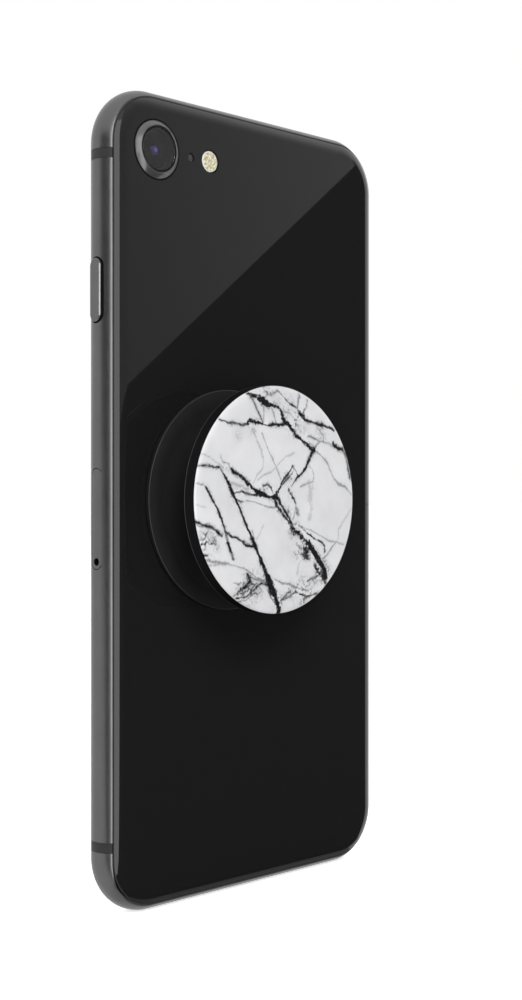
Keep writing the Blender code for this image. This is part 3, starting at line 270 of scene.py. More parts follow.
def box(low, high, edge):
    """A block between two corners, its edges rounded."""
    builder = bmesh.new()
    bmesh.ops.create_cube(builder, size=1.0)
    for vert in builder.verts:
        for axis in range(3):
            vert.co[axis] = low[axis] if vert.co[axis] < 0 else high[axis]
    bmesh.ops.bevel(builder, geom=builder.edges[:], offset=edge, segments=3, profile=0.5, affect="EDGES")
    return builder


AXES = {
    "x": Matrix.Rotation(QUARTER, 4, "Y"),
    "-x": Matrix.Rotation(-QUARTER, 4, "Y"),
    "y": Matrix.Rotation(-QUARTER, 4, "X"),
    "z": Matrix.Identity(4),
}


def rod(place, radius, length, axis, steps=SMALL_ROUND, end_radius=None):
    """A cylinder or cone centred at a place along an axis."""
    builder = bmesh.new()
    bmesh.ops.create_cone(
        builder, cap_ends=True, segments=steps, radius1=radius, radius2=end_radius or radius, depth=length
    )
    bmesh.ops.transform(builder, matrix=Matrix.Translation(place) @ AXES[axis], verts=builder.verts)
    return builder


def to_mesh(name, builder):
    bmesh.ops.recalc_face_normals(builder, faces=builder.faces)
    mesh = bpy.data.meshes.new(name)
    builder.to_mesh(mesh)
    builder.free()
    return mesh


def merged(*builders):
    """Several shapes in one mesh."""
    whole = bmesh.new()
    for builder in builders:
        part = to_mesh("part", builder)
        whole.from_mesh(part)
        bpy.data.meshes.remove(part)
    return whole


def new_object(name, builder):
    made = bpy.data.objects.new(name, to_mesh(name, builder))
    SCENE.collection.objects.link(made)
    return made


def cut(target, *builders, walls=None):
    """Cut shapes out of an object's mesh, one after the other; the walls left may get a near-black look of
    painted shade.
    """
    cutters = [new_object("cutter", builder) for builder in builders]
    for cutter in cutters:
        modifier = target.modifiers.new("cut", "BOOLEAN")
        modifier.operation = "DIFFERENCE"
        modifier.solver = "EXACT"
        if walls:
            cutter.data.materials.append(LOOKS[walls])
            modifier.material_mode = "TRANSFER"
        modifier.object = cutter
    graph = bpy.context.evaluated_depsgraph_get()
    mesh = bpy.data.meshes.new_from_object(target.evaluated_get(graph))
    target.modifiers.clear()
    old = target.data
    target.data = mesh
    bpy.data.meshes.remove(old)
    for cutter in cutters:
        bpy.data.objects.remove(cutter, do_unlink=True)
    return target


def paint(made, looks, pick=None):
    """Give an object several looks; pick says for a face which one it has."""
    for look in looks:
        made.data.materials.append(LOOKS[look])
    if pick:
        for polygon in made.data.polygons:
            polygon.material_index = int(pick(polygon))


def dress(made, look, slot, body="phone", replaces=(), angle=32, flats=False):
    """Stand a piece up, give it its look, shade it smooth and let it ride on its body."""
    mesh = made.data
    mesh.transform(STAND)
    if not mesh.materials:
        mesh.materials.append(LOOKS[look])
    mesh.shade_smooth()
    mesh.set_sharp_from_angle(angle=math.radians(angle))
    if flats:
        for polygon in mesh.polygons:
            if abs(polygon.normal.y) > 0.99999:
                polygon.use_smooth = False
    if body:
        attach(made, body)
    if replaces:
        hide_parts(*replaces)
    return made


def piece(name, builder, look, slot, **rest):
    return dress(new_object(name, builder), look, slot, **rest)


# Looks

WHITE = (1.0, 1.0, 1.0)
GRAIN_DEPTH = 0.00002
SCREEN_HALF = (29.3 * MM, 52.2 * MM)


class Nodes:
    """A node tree with short ways to add nodes and join them."""

    def __init__(self, owner, clear=True):
        self.owner = owner
        owner.use_nodes = True
        self.tree = owner.node_tree
        if clear:
            self.tree.nodes.clear()

    def feed(self, socket, value):
        """Join a socket to another node's output, or set it to a constant."""
        if isinstance(value, bpy.types.NodeSocket):
            self.tree.links.new(value, socket)
        else:
            socket.default_value = (*value, 1.0) if socket.type == "RGBA" else value

    def add(self, kind, inputs=None, **settings):
        """A new node with its settings and inputs; gives its outputs."""
        node = self.tree.nodes.new(kind)
        for key, value in settings.items():
            setattr(node, key, value)
        for key, value in (inputs or {}).items():
            self.feed(node.inputs[key], value)
        return node.outputs

    def ramp(self, value, low, high, start=0.3, end=0.7):
        """Map a value's range onto another, as a number."""
        inputs = {"Value": value, "From Min": start, "From Max": end, "To Min": low, "To Max": high}
        return self.add("ShaderNodeMapRange", inputs)["Result"]

    def math(self, operation, *values):
        return self.add("ShaderNodeMath", dict(enumerate(values)), operation=operation)["Value"]

    def vector(self, operation, *values):
        return self.add("ShaderNodeVectorMath", dict(enumerate(values)), operation=operation)

    def glow(self, strength):
        return self.add("ShaderNodeEmission", {"Color": WHITE, "Strength": strength})[0]

    def surface(self, shader, kind="ShaderNodeOutputMaterial"):
        self.add(kind, {"Surface": shader})
        return self.owner


class Look(Nodes):
    """A Principled material whose patterns follow the object's own coordinates."""

    def __init__(self, name, colour, roughness, metallic=0.0, **sockets):
        super().__init__(bpy.data.materials.new(name), clear=False)
        self.shader = next(n for n in self.tree.nodes if n.type == "BSDF_PRINCIPLED")
        self.set(Base_Color=colour, Roughness=roughness, Metallic=metallic, **sockets)
        self.place = self.add("ShaderNodeTexCoord")["Object"]

    def set(self, **sockets):
        """Constants or other nodes' outputs for the shader's sockets, named with _ for a space."""
        for name, value in sockets.items():
            self.feed(self.shader.inputs[name.replace("_", " ")], value)
        return self

    def texture(self, kind, scale, inputs=None, **settings):
        return self.add(kind, {"Vector": self.place, "Scale": scale, **(inputs or {})}, **settings)

    def noise(self, scale, detail=4.0, rough=0.55):
        return self.texture("ShaderNodeTexNoise", scale, {"Detail": detail, "Roughness": rough})["Fac"]

    def mix(self, factor, first, second):
        """Colours mixed by a factor; each may be a tuple or another node's output."""
        return self.add("ShaderNodeMix", {"Factor": factor, 6: first, 7: second}, data_type="RGBA")[2]

    def bump(self, height, strength, distance):
        inputs = {"Height": height, "Strength": strength, "Distance": distance}
        return self.set(Normal=self.add("ShaderNodeBump", inputs)["Normal"])

    def from_axis(self, node):
        """Distance from the line that runs from back to front through a node's middle."""
        shift = self.vector("SUBTRACT", self.place, STAND @ Vector((*node.at, THICKNESS)))[0]
        flat = self.vector("MULTIPLY", shift, (1.0, 0.0, 1.0))[0]
        return self.vector("LENGTH", flat)["Value"]


def tinted(colour, share):
    return tuple(min(channel * share, 1.0) for channel in colour)


def worked(name, colour, roughness, metallic=0.0, scale=900.0, spread=0.05, grain=0.12, **sockets):
    """A plain finish with a little cloud in its colour and gloss, and a fine grain."""
    look = Look(name, colour, roughness, metallic, **sockets)
    cloud = look.ramp(look.noise(scale / 6), 0.0, 1.0)
    gloss = look.ramp(look.noise(scale / 2.5), roughness - spread, roughness + spread)
    look.set(Base_Color=look.mix(cloud, tinted(colour, 0.9), tinted(colour, 1.1)), Roughness=gloss)
    return look.bump(look.noise(scale * 8, detail=2.0), grain, GRAIN_DEPTH).owner


def metal_look():
    """Anodised metal with a very fine blasted grain."""
    grey = (0.145, 0.145, 0.146)
    look = Look("anodised_metal", grey, 0.34, 1.0)
    cloud = look.ramp(look.noise(140.0), 0.0, 1.0)
    gloss = look.ramp(look.noise(1800.0), 0.30, 0.38)
    look.set(Base_Color=look.mix(cloud, tinted(grey, 0.95), tinted(grey, 1.06)), Roughness=gloss)
    return look.bump(look.noise(14000.0, detail=1.0), 0.10, 0.00001).owner


def glass_look(name, colour):
    """Black cover glass: a clean polish with the faintest haze of handling."""
    look = Look(name, colour, 0.04, IOR=1.5)
    haze = look.noise(45.0, detail=6.0, rough=0.65)
    return look.set(Roughness=look.ramp(haze, 0.006, 0.022, 0.35, 0.75))


def screen_look():
    """Display cover glass: black border, and the dark screen just visible inside it."""
    look = glass_look("display_cover_glass", (0.005, 0.005, 0.005))
    parts = look.add("ShaderNodeSeparateXYZ", {0: look.place})
    height = look.math("SUBTRACT", parts["Z"], HALF_LENGTH * MM)
    inside = []
    for value, half in zip((parts["X"], height), SCREEN_HALF):
        inside.append(look.math("LESS_THAN", look.math("ABSOLUTE", value), half))
    screen = look.mix(look.math("MULTIPLY", *inside), (0.0045, 0.0045, 0.0045), (0.0085, 0.0090, 0.0105))
    return look.set(Base_Color=screen).owner


def mesh_look():
    """Woven metal mesh of the earpiece and the sound holes."""
    look = Look("sound_mesh", (0.05, 0.05, 0.052), 0.45, 0.8)
    waves = [look.texture("ShaderNodeTexWave", 1100.0, bands_direction=way)["Fac"] for way in ("X", "Z")]
    woven = look.math("MULTIPLY", *waves)
    gap = look.ramp(woven, 0.0, 1.0, 0.05, 0.5)
    look.set(Base_Color=look.mix(gap, (0.24, 0.24, 0.245), (0.012, 0.012, 0.012)))
    return look.bump(woven, 0.6, 0.00008).owner


def glint_coating_look():
    """Violet coating of the inner lens, with a painted glint that makes it brightest at its middle."""
    look = Look("lens_coating", (0.2, 0.14, 0.8), 0.25, 0.3)
    # Painted glint: light violet at the middle, dark violet further out.
    share = look.ramp(look.from_axis(CAMERA), 0.0, 1.0, 0.10 * MM, 0.50 * MM)
    return look.set(Base_Color=look.mix(share, (0.32, 0.23, 0.98), (0.060, 0.038, 0.26))).owner


def window_look():
    """Clear, smoked camera window with the faintest haze."""
    look = Look("camera_window_glass", (0.60, 0.60, 0.61), 0.0, IOR=1.43, Transmission_Weight=1.0)
    return look.set(Roughness=look.ramp(look.noise(300.0), 0.0, 0.012)).owner


def flash_look():
    """Cream phosphor behind a dimpled lens with a pale rim."""
    look = Look("flash_lens", (0.70, 0.62, 0.36), 0.30, IOR=1.5)
    dimple = look.texture("ShaderNodeTexVoronoi", 1900.0, feature="F1")["Distance"]
    speckle = look.ramp(look.noise(2600.0), 0.0, 1.0, 0.38, 0.62)
    cream = look.mix(speckle, (0.42, 0.37, 0.20), (0.97, 0.94, 0.75))
    cream = look.mix(look.ramp(dimple, 0.0, 0.6, 0.25, 0.75), cream, (0.30, 0.26, 0.14))
    start, end = (FLASH_EDGE - 0.22) * MM, (FLASH_EDGE - 0.10) * MM
    rim = look.ramp(look.from_axis(FLASH), 0.0, 1.0, start, end)
    look.set(Base_Color=look.mix(rim, cream, (0.93, 0.91, 0.86)))
    return look.bump(look.math("SUBTRACT", 1.0, dimple), 0.5, 0.0002).owner


def marble_look():
    """Printed white marble under a clear coat: painted veins, and soft haze with fine cracks in it."""
    coat = {"Specular_IOR_Level": 0.2, "Coat_Weight": 0.5, "Coat_Roughness": 0.08}
    look = Look("marble_print", (0.74, 0.74, 0.74), 0.4, **coat)
    vein, haze = (look.add("ShaderNodeAttribute", attribute_name=name)["Fac"] for name in ("vein", "haze"))
    cloud = look.ramp(look.noise(110.0, detail=5.0), 0.0, 1.0, 0.35, 0.75)
    stone = look.mix(cloud, (0.715, 0.715, 0.725), (0.60, 0.60, 0.615))
    stone = look.mix(haze, stone, (0.20, 0.20, 0.21))
    shift = look.texture("ShaderNodeTexNoise", 900.0)["Color"]
    shift = look.add("ShaderNodeVectorMath", {0: shift, "Scale": 0.0016}, operation="SCALE")[0]
    warped = {"Vector": look.vector("ADD", look.place, shift)[0]}
    cells = look.texture("ShaderNodeTexVoronoi", 620.0, warped, feature="DISTANCE_TO_EDGE")["Distance"]
    hazy = look.ramp(haze, 0.0, 1.0, 0.10, 0.45)
    crack = look.math("MULTIPLY", look.ramp(cells, 0.95, 0.0, 0.02, 0.12), hazy)
    grain = look.ramp(look.noise(2100.0, rough=0.7), 0.66, 1.6, 0.3, 0.6)
    dark = look.math("MAXIMUM", look.math("MULTIPLY", vein, grain), crack)
    dark = look.math("MINIMUM", dark, 1.0)
    return look.set(Base_Color=look.mix(dark, stone, (0.003, 0.003, 0.0035))).owner


def board_look():
    """Circuit board: solder mask with faint traces."""
    look = Look("circuit_board", (0.010, 0.045, 0.030), 0.45)
    trace = look.texture("ShaderNodeTexBrick", 700.0, {"Mortar Size": 0.03})["Fac"]
    look.set(Base_Color=look.mix(trace, (0.008, 0.040, 0.026), (0.030, 0.090, 0.055)))
    return look.bump(look.noise(4000.0), 0.1, 0.00003).owner


def coil_look():
    """Fine copper winding."""
    look = Look("copper_winding", (0.70, 0.36, 0.20), 0.38, 1.0)
    wire = look.texture("ShaderNodeTexWave", 600.0, wave_type="RINGS", rings_direction="Y")["Fac"]
    look.set(Base_Color=look.mix(wire, (0.45, 0.20, 0.10), (0.78, 0.42, 0.24)))
    return look.bump(wire, 0.4, 0.0001).owner


MATT = {"Specular_IOR_Level": 0.03}
SATIN = {"Specular_IOR_Level": 0.3}
POLISHED = {"metallic": 1.0, "spread": 0.03, "grain": 0.02}
LOOKS = {
    "metal": metal_look(),
    "dark_metal": worked("dark_metal", (0.118, 0.118, 0.120), 0.20, 0.55, grain=0.05),
    "polished": worked("polished_edge", (0.155, 0.155, 0.157), 0.18, **POLISHED),
    # Much lighter copy of the metal: a painted highlight along the buttons' chamfers
    "bright": worked("bright_chamfer", (0.58, 0.58, 0.585), 0.14, **POLISHED),
    # Near-black wall look: painted shade on the walls of cut openings and holes, on the buttons' side walls
    # and along the camera bezel's foot; the bezel's inner lip has it too
    "slot": worked("slot_wall", (0.006, 0.006, 0.006), 0.6, Specular_IOR_Level=0.1),
    "insert": worked("insert_polymer", (0.022, 0.022, 0.023), 0.50, scale=700.0, **SATIN),
    "glass": glass_look("back_cover_glass", (0.0105, 0.0105, 0.0108)).owner,
    "seal": worked("seal_rubber", (0.022, 0.022, 0.022), 0.75),
    "plastic": worked("black_plastic", (0.014, 0.014, 0.015), 0.42, scale=1500.0, grain=0.2),
    "steel": worked("steel", (0.50, 0.50, 0.51), 0.30, 1.0, scale=1200.0),
    "gold": worked("contact_gold", (0.72, 0.50, 0.20), 0.28, 1.0),
    "orange": worked("switch_stripe", (0.72, 0.17, 0.02), 0.50),
    "grip": worked(
        "grip_plastic", (0.0055, 0.0055, 0.0057), 0.50, scale=1600.0, spread=0.06, grain=0.16, **MATT
    ),
    # The base's black plastic, painted lighter than the cap's to stand for the soft light its face catches
    "dish": worked("grip_dish", (0.0135, 0.0135, 0.0138), 0.60, scale=1600.0, grain=0.16, **MATT),
    # Lighter, glossier copy of the grip's black plastic: a painted highlight line along the base's outer edge
    # and the cap's back edge
    "arris": worked("grip_arris", (0.028, 0.028, 0.029), 0.45, **SATIN),
    "rubber": worked("grip_rubber", (0.0120, 0.0120, 0.0121), 0.75, scale=1100.0, grain=0.25, **MATT),
    "well": worked("lens_well", (0.003, 0.003, 0.003), 0.8, **MATT),
    "lens": worked("lens_glass", (0.006, 0.005, 0.010), 0.05, spread=0.02, grain=0.0, Specular_IOR_Level=0.2),
    "coated": glint_coating_look(),
    "window": window_look(),
    "screen": screen_look(),
    "mesh": mesh_look(),
    "flash": flash_look(),
    "marble": marble_look(),
    "board": board_look(),
    "copper": coil_look(),
    "cell": worked("battery_wrap", (0.020, 0.020, 0.022), 0.55, scale=500.0),
}


# The phone's shell


def edge_profile(low, high):
    """(inset, z) points of the round edge between two levels."""
    first, last = (math.asin((level - MID) / EDGE) for level in (low, high))
    return [(EDGE - reach, z) for reach, z in arc((0.0, MID), EDGE, first, last, EDGE_STEPS)]


def side_strip(side, y_low, y_high, outer, inner, spread):
    """A strip of the round side band between two radii, running along y."""
    centre = (HALF_WIDTH - EDGE, MID)
    shape = arc(centre, outer, -spread, spread, EDGE_STEPS) + arc(centre, inner, spread, -spread, EDGE_STEPS)
    return loft([[(side * x, y, z) for x, z in shape] for y in (y_low, y_high)])


def antenna_nodes():
    for side, across in ((-1, "left"), (1, "right")):
        for end in ("top", "bottom"):
            yield side, f"antenna_insert_{across}_{end}"


def opening(length, height, gap, reach, place, radius=None):
    """A cutter through the band's wall: an outline with a gap all round."""
    levels = ((0.0, reach - THROUGH - 1.0), (0.0, reach + THROUGH))
    return stack(length + 2 * gap, height + 2 * gap, levels, place, radius)


def grille_places():
    """Middles along x of the sound holes on both sides of the port."""
    return [side * (GRILLE_FIRST + n * GRILLE_PITCH) for side in (-1, 1) for n in range(GRILLE_HOLES)]


def band_openings():
    """Cutters for the antenna grooves, the slots at the sides, and the port, holes and screws below."""
    for side, name in antenna_nodes():
        node = Node(name)
        low, high = node.low.y - GROOVE_GAP, node.high.y + GROOVE_GAP
        yield side_strip(side, low, high, EDGE + THROUGH, EDGE - GROOVE_DEPTH, GROOVE_SPREAD)
    for name in BUTTONS:
        x, y = Node(name).at
        place = on_side(math.copysign(1, x), y, MID)
        yield opening(BUTTON_LENGTH, BUTTON_HEIGHT, BUTTON_GAP, HALF_WIDTH, place)
    height, radius = LEVER_HEIGHT + LEVER_TRAVEL, LEVER_HEIGHT / 2 + SLOT_GAP
    place = on_side(1, Node("ring_switch").middle.y, MID)
    yield opening(LEVER_LENGTH, height, SLOT_GAP, HALF_WIDTH, place, radius)
    tray = Node("sim_tray")
    yield opening(tray.size.y, tray.size.z, SLOT_GAP, HALF_WIDTH, on_side(-1, tray.middle.y, MID))
    yield opening(PORT_WIDTH, PORT_HEIGHT, 0.0, HALF_LENGTH, on_bottom(0.0, MID))
    for x in grille_places():
        yield rod((x, -HALF_LENGTH, MID), GRILLE_RADIUS, 12.0, "y", 32)
    for name in SCREWS:
        yield rod((Node(name).middle.x, -HALF_LENGTH, MID), SCREW_RADIUS + SLOT_GAP, 1.6, "y", 32)


def make_band():
    """The metal band with its chamfered lips and every opening."""
    lip = FRAME_BACK - CHAMFER
    shoulder = inset_at(FRAME_BACK) + CHAMFER
    profile = edge_profile(THICKNESS - lip, lip)
    profile += [(shoulder, FRAME_BACK), (BAND_WALL, FRAME_BACK)]
    profile += [(BAND_WALL, FRAME_FRONT), (shoulder, FRAME_FRONT)]

    def on_lip(polygon):
        z = polygon.center.z
        return lip < z < FRAME_BACK or FRAME_FRONT < z < FRAME_FRONT + CHAMFER

    band = new_object("side_band", band_loft(profile))
    paint(band, ("metal", "polished"), on_lip)
    # The openings' walls get painted shade.
    cut(band, *band_openings(), walls="slot")
    dress(band, "metal", "grey_metal", replaces=("mid_frame",), angle=28)


def make_inserts():
    """Polymer strips across the band, a hair below the metal."""
    spread = math.asin((FRAME_BACK - MID) / EDGE) - 0.01
    for side, name in antenna_nodes():
        node = Node(name)
        strip = side_strip(side, node.low.y, node.high.y, EDGE - INSERT_SUNK, EDGE - INSERT_DEPTH, spread)
        piece(name + "_strip", strip, "insert", "insert_polymer", replaces=(name,), angle=40)


def rim_ring(level, inset):
    """The glass's outline at its foot, which reaches closer to the band along the sides than at the ends."""
    points = []
    for x, y, dx, dy in SPINE:
        z = level - SEAM_CLOSE * dx * dx + SEAM_OPEN * dy * dy
        reach = CORNER_RADIUS - inset_at(z) - inset
        points.append((x + dx * reach, y + dy * reach, z))
    return points


def make_glass(name, node, look, holes, front=False):
    """A cover glass with its round rim and a fine arris at its lower edge, with holes cut through."""
    rings = [rim_ring(GLASS_INNER, GLASS_ARRIS), rim_ring(GLASS_INNER + GLASS_ARRIS, 0.0)]
    start = GLASS_INNER + 2 * GLASS_ARRIS + SEAM_OPEN
    rings += [ring(inset, z) for inset, z in edge_profile(start, THICKNESS)]
    if front:
        rings = [[(x, y, THICKNESS - z) for x, y, z in points] for points in rings]
    glass = cut(new_object(name, loft(rings)), *holes)
    dress(glass, look, "black_glass", replaces=(node,), angle=28, flats=True)


def make_glasses():
    back = [
        rod((*CAMERA.at, THICKNESS), CAMERA.radius + BEZEL_GAP, THROUGH, "z", ROUND),
        rod((*FLASH.at, THICKNESS), FLASH.radius + FLASH_GAP, THROUGH, "z"),
        rod((*REAR_MIC.at, THICKNESS), MIC_RADIUS, THROUGH, "z", FINE_ROUND),
    ]
    make_glass("back_cover", "back_glass", "glass", back)
    home, ear, eye = (Node(name) for name in ("home_ring", "earpiece_mesh", "front_camera"))
    levels = ((0.0, -THROUGH), (0.0, THROUGH))
    front = [
        rod((*home.at, 0.0), home.radius + 0.05, THROUGH, "z", ROUND),
        stack(ear.size.x + 2 * SLOT_GAP, ear.size.y + 2 * SLOT_GAP, levels, on_front(*ear.at)),
        rod((*eye.at, 0.0), EYE_RADIUS, 0.5, "z", 48),
    ]
    make_glass("display_cover", "display_glass", "screen", front, front=True)


def make_seals():
    """Dark seals in the fine gap between the band and each glass."""
    outer, inner = inset_at(FRAME_BACK) + SEAL_SETBACK, BAND_WALL + 1.0
    high = GLASS_INNER - SEAM_CLOSE - SEAL_CLEAR
    levels = {
        "back_seal": (FRAME_BACK + SEAL_CLEAR, high),
        "display_seal": (THICKNESS - high, FRAME_FRONT - SEAL_CLEAR),
    }
    for name, (low, high) in levels.items():
        profile = ((outer, low), (outer, high), (inner, high), (inner, low))
        piece(name + "_line", band_loft(profile), "seal", "seal_rubber", replaces=(name,))


# Buttons, switch and tray


def highlight_and_shade_edge(made, low, high):
    """Metal face, a chamfer between two reaches with a painted highlight along its straight sides, and side
    walls in painted shade.
    """

    def pick(polygon):
        reach = abs(polygon.center.x)
        if low < reach < high - 0.02 and abs(polygon.normal.y) < 0.2:
            return 1
        return 2 if reach < low and abs(polygon.normal.x) < 0.5 else 0

    paint(made, ("metal", "bright", "slot"), pick)


def flange(node, inner, place):
    """The rim that holds a button behind the band."""
    return stack(node.size.y, node.size.z, ((0.0, inner), (0.0, inner + FLANGE_DEPTH)), place)


def make_buttons():
    for name, body in BUTTONS.items():
        node = Node(name)
        inner, outer = sorted((abs(node.low.x), abs(node.high.x)))
        place = on_side(math.copysign(1, node.middle.x), node.middle.y, MID)
        levels = ((0.0, inner), (0.0, outer - BUTTON_CHAMFER), (BUTTON_CHAMFER, outer))
        face = stack(BUTTON_LENGTH, BUTTON_HEIGHT, levels, place)
        button = new_object(name + "_cap", merged(face, flange(node, inner, place)))
        highlight_and_shade_edge(button, outer - BUTTON_CHAMFER, outer)
        dress(button, "metal", "grey_metal", body, (name,), angle=40)


def make_ring_switch():
    """Lever with a rolled edge, and the stripe that it uncovers."""
    node = Node("ring_switch")
    place = on_side(1, node.middle.y, node.middle.z)
    levels = [(0.0, node.low.x), (0.0, node.middle.x)]
    levels += [(LEVER_EDGE * (1 - c), node.high.x - LEVER_EDGE * (1 - s)) for c, s in sweep(0.0, QUARTER, 6)]
    lever = merged(stack(LEVER_LENGTH, LEVER_HEIGHT, levels, place), flange(node, node.low.x, place))
    ride = {"body": "ring_switch", "replaces": ("ring_switch",)}
    piece("ring_switch_lever", lever, "metal", "grey_metal", angle=40, **ride)
    level = node.low.x - STRIPE_SUNK
    place = on_side(1, node.middle.y, MID - LEVER_TRAVEL / 2)
    stripe = stack(LEVER_LENGTH, LEVER_HEIGHT, ((0.0, level - 0.1), (0.0, level)), place)
    piece("ring_switch_stripe", stripe, "orange", "black_plastic")


def make_tray():
    """SIM tray: a face that follows the band, with its pin hole."""
    node = Node("sim_tray")
    hole_y = node.low.y + PIN_HOLE_FROM_END

    def place(a, b, level):
        return (inset_at(MID + b) + level - HALF_WIDTH, node.middle.y + a, MID + b)

    face = new_object("sim_tray_face", stack(node.size.y, node.size.z, TRAY_LEVELS, place))
    paint(face, ("metal",))
    mouth, wide = (0.02 - HALF_WIDTH, hole_y, MID), 1.75 * PIN_HOLE_RADIUS
    cut(face, rod(mouth, 0.6 * PIN_HOLE_RADIUS, 0.6, "-x", FINE_ROUND, wide))
    # The pin hole's wall gets painted shade.
    cut(face, rod((-HALF_WIDTH, hole_y, MID), PIN_HOLE_RADIUS, 6.0, "x", FINE_ROUND), walls="slot")
    dress(face, "metal", "grey_metal", "sim_tray", ("sim_tray",), angle=30)
    make_tray_plate(node, hole_y)


def make_tray_plate(node, hole_y):
    """The tray's plate with its card pocket and the window in it."""
    low = (PLATE_START - HALF_WIDTH, hole_y + PIN_HOLE_RADIUS + 0.3, MID - PLATE_HALF)
    high = (node.high.x, node.high.y - PLATE_MARGIN, MID + PLATE_HALF)
    plate = new_object("sim_tray_plate", box(low, high, 0.12))
    end, y = node.high.x - PLATE_MARGIN, (low[1] + high[1]) / 2
    cutters = []
    for (inset, length, width), floor in ((POCKET, high[2] - POCKET_DEPTH), (CARD_WINDOW, MID - 2.0)):
        place = on_front(end - inset - length / 2, y)
        cutters.append(stack(length, width, ((0.0, floor), (0.0, MID + 2.0)), place, POCKET_CORNER))
    cut(plate, *cutters)
    dress(plate, "metal", "grey_metal", "sim_tray", angle=35)


# Rear camera, flash and microphone


def make_bezel():
    """Camera bezel with a sloping face, a near-black inner lip and painted shade along its foot."""
    top = CAMERA.high.z
    lip, brim = WINDOW.radius + 0.02, CAMERA.radius - 0.15
    black, foot = top - 0.06, THICKNESS - 0.1
    drop = black - THICKNESS
    profile = [(lip, WINDOW.low.z), (lip, black), (BEZEL_CREST - 0.14, black)]
    profile += [(BEZEL_CREST - 0.08, top - 0.012), (BEZEL_CREST - 0.03, top), (BEZEL_CREST, top)]
    for share in np.linspace(0.05, 1.0, 14):
        reach = BEZEL_CREST + (brim - BEZEL_CREST) * share
        profile.append((reach, top - drop * (0.7 * share + 0.3 * share**2)))
    profile += [(brim + 0.01, THICKNESS + 0.03), (CAMERA.radius, THICKNESS + 0.02), (CAMERA.radius, foot)]
    profile += [(4.4, foot), (4.4, CAMERA.low.z), (3.3, CAMERA.low.z), (3.3, WINDOW.low.z)]

    def is_lip_or_shaded_foot(polygon):
        reach = math.dist(polygon.center.xy, CAMERA.at)
        return reach < BEZEL_CREST - BEZEL_LIP or reach > brim

    bezel = new_object("camera_bezel_ring", turned(profile, CAMERA.at, closed=True))
    # The inner lip and the foot get the near-black look; at the foot it is painted shade of the gap to the
    # glass.
    paint(bezel, ("dark_metal", "slot"), is_lip_or_shaded_foot)
    dress(bezel, "dark_metal", "dark_metal", replaces=("camera_bezel",), angle=25)


def make_pane():
    """Flat camera window with a fine arris."""
    top, reach = WINDOW.high.z, WINDOW.radius - 0.01
    profile = [(0.0, top), (reach - 0.02, top), (reach, top - 0.02), (reach, top - PANE), (0.0, top - PANE)]
    pane = turned(profile, CAMERA.at)
    piece("camera_pane", pane, "window", "black_glass", replaces=("camera_window",), angle=25, flats=True)


def make_barrel():
    """Lens barrel with its stepped well, and the lens and its coating in it."""
    barrel = Node("camera_barrel")
    reach, crown = barrel.radius, barrel.high.z
    well = ((0.0, 0.60), (1.10, 0.60), (1.18, 0.40), (1.75, 0.22), (1.80, 0.14), (2.6, 0.02), (2.75, 0.0))
    profile = [(radius, crown - depth) for radius, depth in well]
    profile += [(reach - 0.1, crown), (reach, crown - 0.1), (reach, barrel.low.z), (0.0, barrel.low.z)]
    ride = {"body": "camera_lens", "replaces": ("camera_barrel",)}
    piece("camera_barrel_body", turned(profile, CAMERA.at, 96), "well", "black_plastic", angle=25, **ride)
    for name, look, size, foot, rise in (
        ("camera_lens_element", "lens", 1.05, crown - 0.61, 0.52),
        # The pupil's coating carries a painted glint.
        ("camera_lens_pupil", "coated", 0.80, crown - 0.14, 0.22),
    ):
        dome = [(0.0, foot + rise)]
        dome += [(size * s, foot + rise * c) for c, s in sweep(0.1, QUARTER, 11)]
        dome.append((0.0, foot - 0.02))
        piece(name, turned(dome, CAMERA.at, 96), look, "black_glass", body="camera_lens", angle=40)


def make_flash():
    reach, crown, foot = FLASH_EDGE, FLASH.high.z - 0.08, FLASH.low.z
    profile = [(0.0, crown), (reach - 0.2, crown - 0.02), (reach - 0.06, crown - 0.06)]
    profile += [(reach, crown - 0.14), (reach, foot), (0.0, foot)]
    dome = turned(profile, FLASH.at, SMALL_ROUND)
    piece("flash_dome", dome, "flash", "cream_lens", replaces=("flash_lens",))


def make_microphone():
    """Mesh sunk in the microphone's hole."""
    level, reach = THICKNESS - MIC_SUNK, MIC_RADIUS - 0.02
    profile = [(0.0, level), (reach, level), (reach, level - 0.1), (0.0, level - 0.1)]
    piece("rear_microphone_screen", turned(profile, REAR_MIC.at, FINE_ROUND), "mesh", "steel")


# Display side and bottom edge


def make_home_button():
    """Metal ring and a slightly dished button in it."""
    around, button = Node("home_ring"), Node("home_button")
    outer, inner = around.radius, button.radius
    low, deep = around.low.z, around.high.z
    profile = [(inner + 0.06, deep), (inner + 0.06, low + 0.16), (inner + 0.2, low + 0.03)]
    profile += [(outer - 0.12, low), (outer - 0.02, low + 0.05), (outer - 0.02, deep)]
    band = turned(profile, button.at, closed=True)
    piece("home_button_ring", band, "metal", "dark_metal", replaces=("home_ring",), angle=25)
    recess, dip = button.low.z, 0.14
    dish = [(0.0, recess + dip)]
    dish += [(inner * share, recess + dip * (1 - share * share)) for share in np.linspace(0.1, 0.98, 12)]
    dish += [(inner, recess + 0.03), (inner, deep), (0.0, deep)]
    face = turned(dish, button.at)
    piece("home_button_face", face, "screen", "black_glass", replaces=("home_button",), angle=30)


def make_earpiece():
    ear = Node("earpiece_mesh")
    levels = ((0.1, ear.low.z), (0.0, ear.low.z + 0.08), (0.0, ear.high.z))
    grille = stack(ear.size.x, ear.size.y, levels, on_front(*ear.at))
    piece("earpiece_grille", grille, "mesh", "steel", replaces=("earpiece_mesh",))


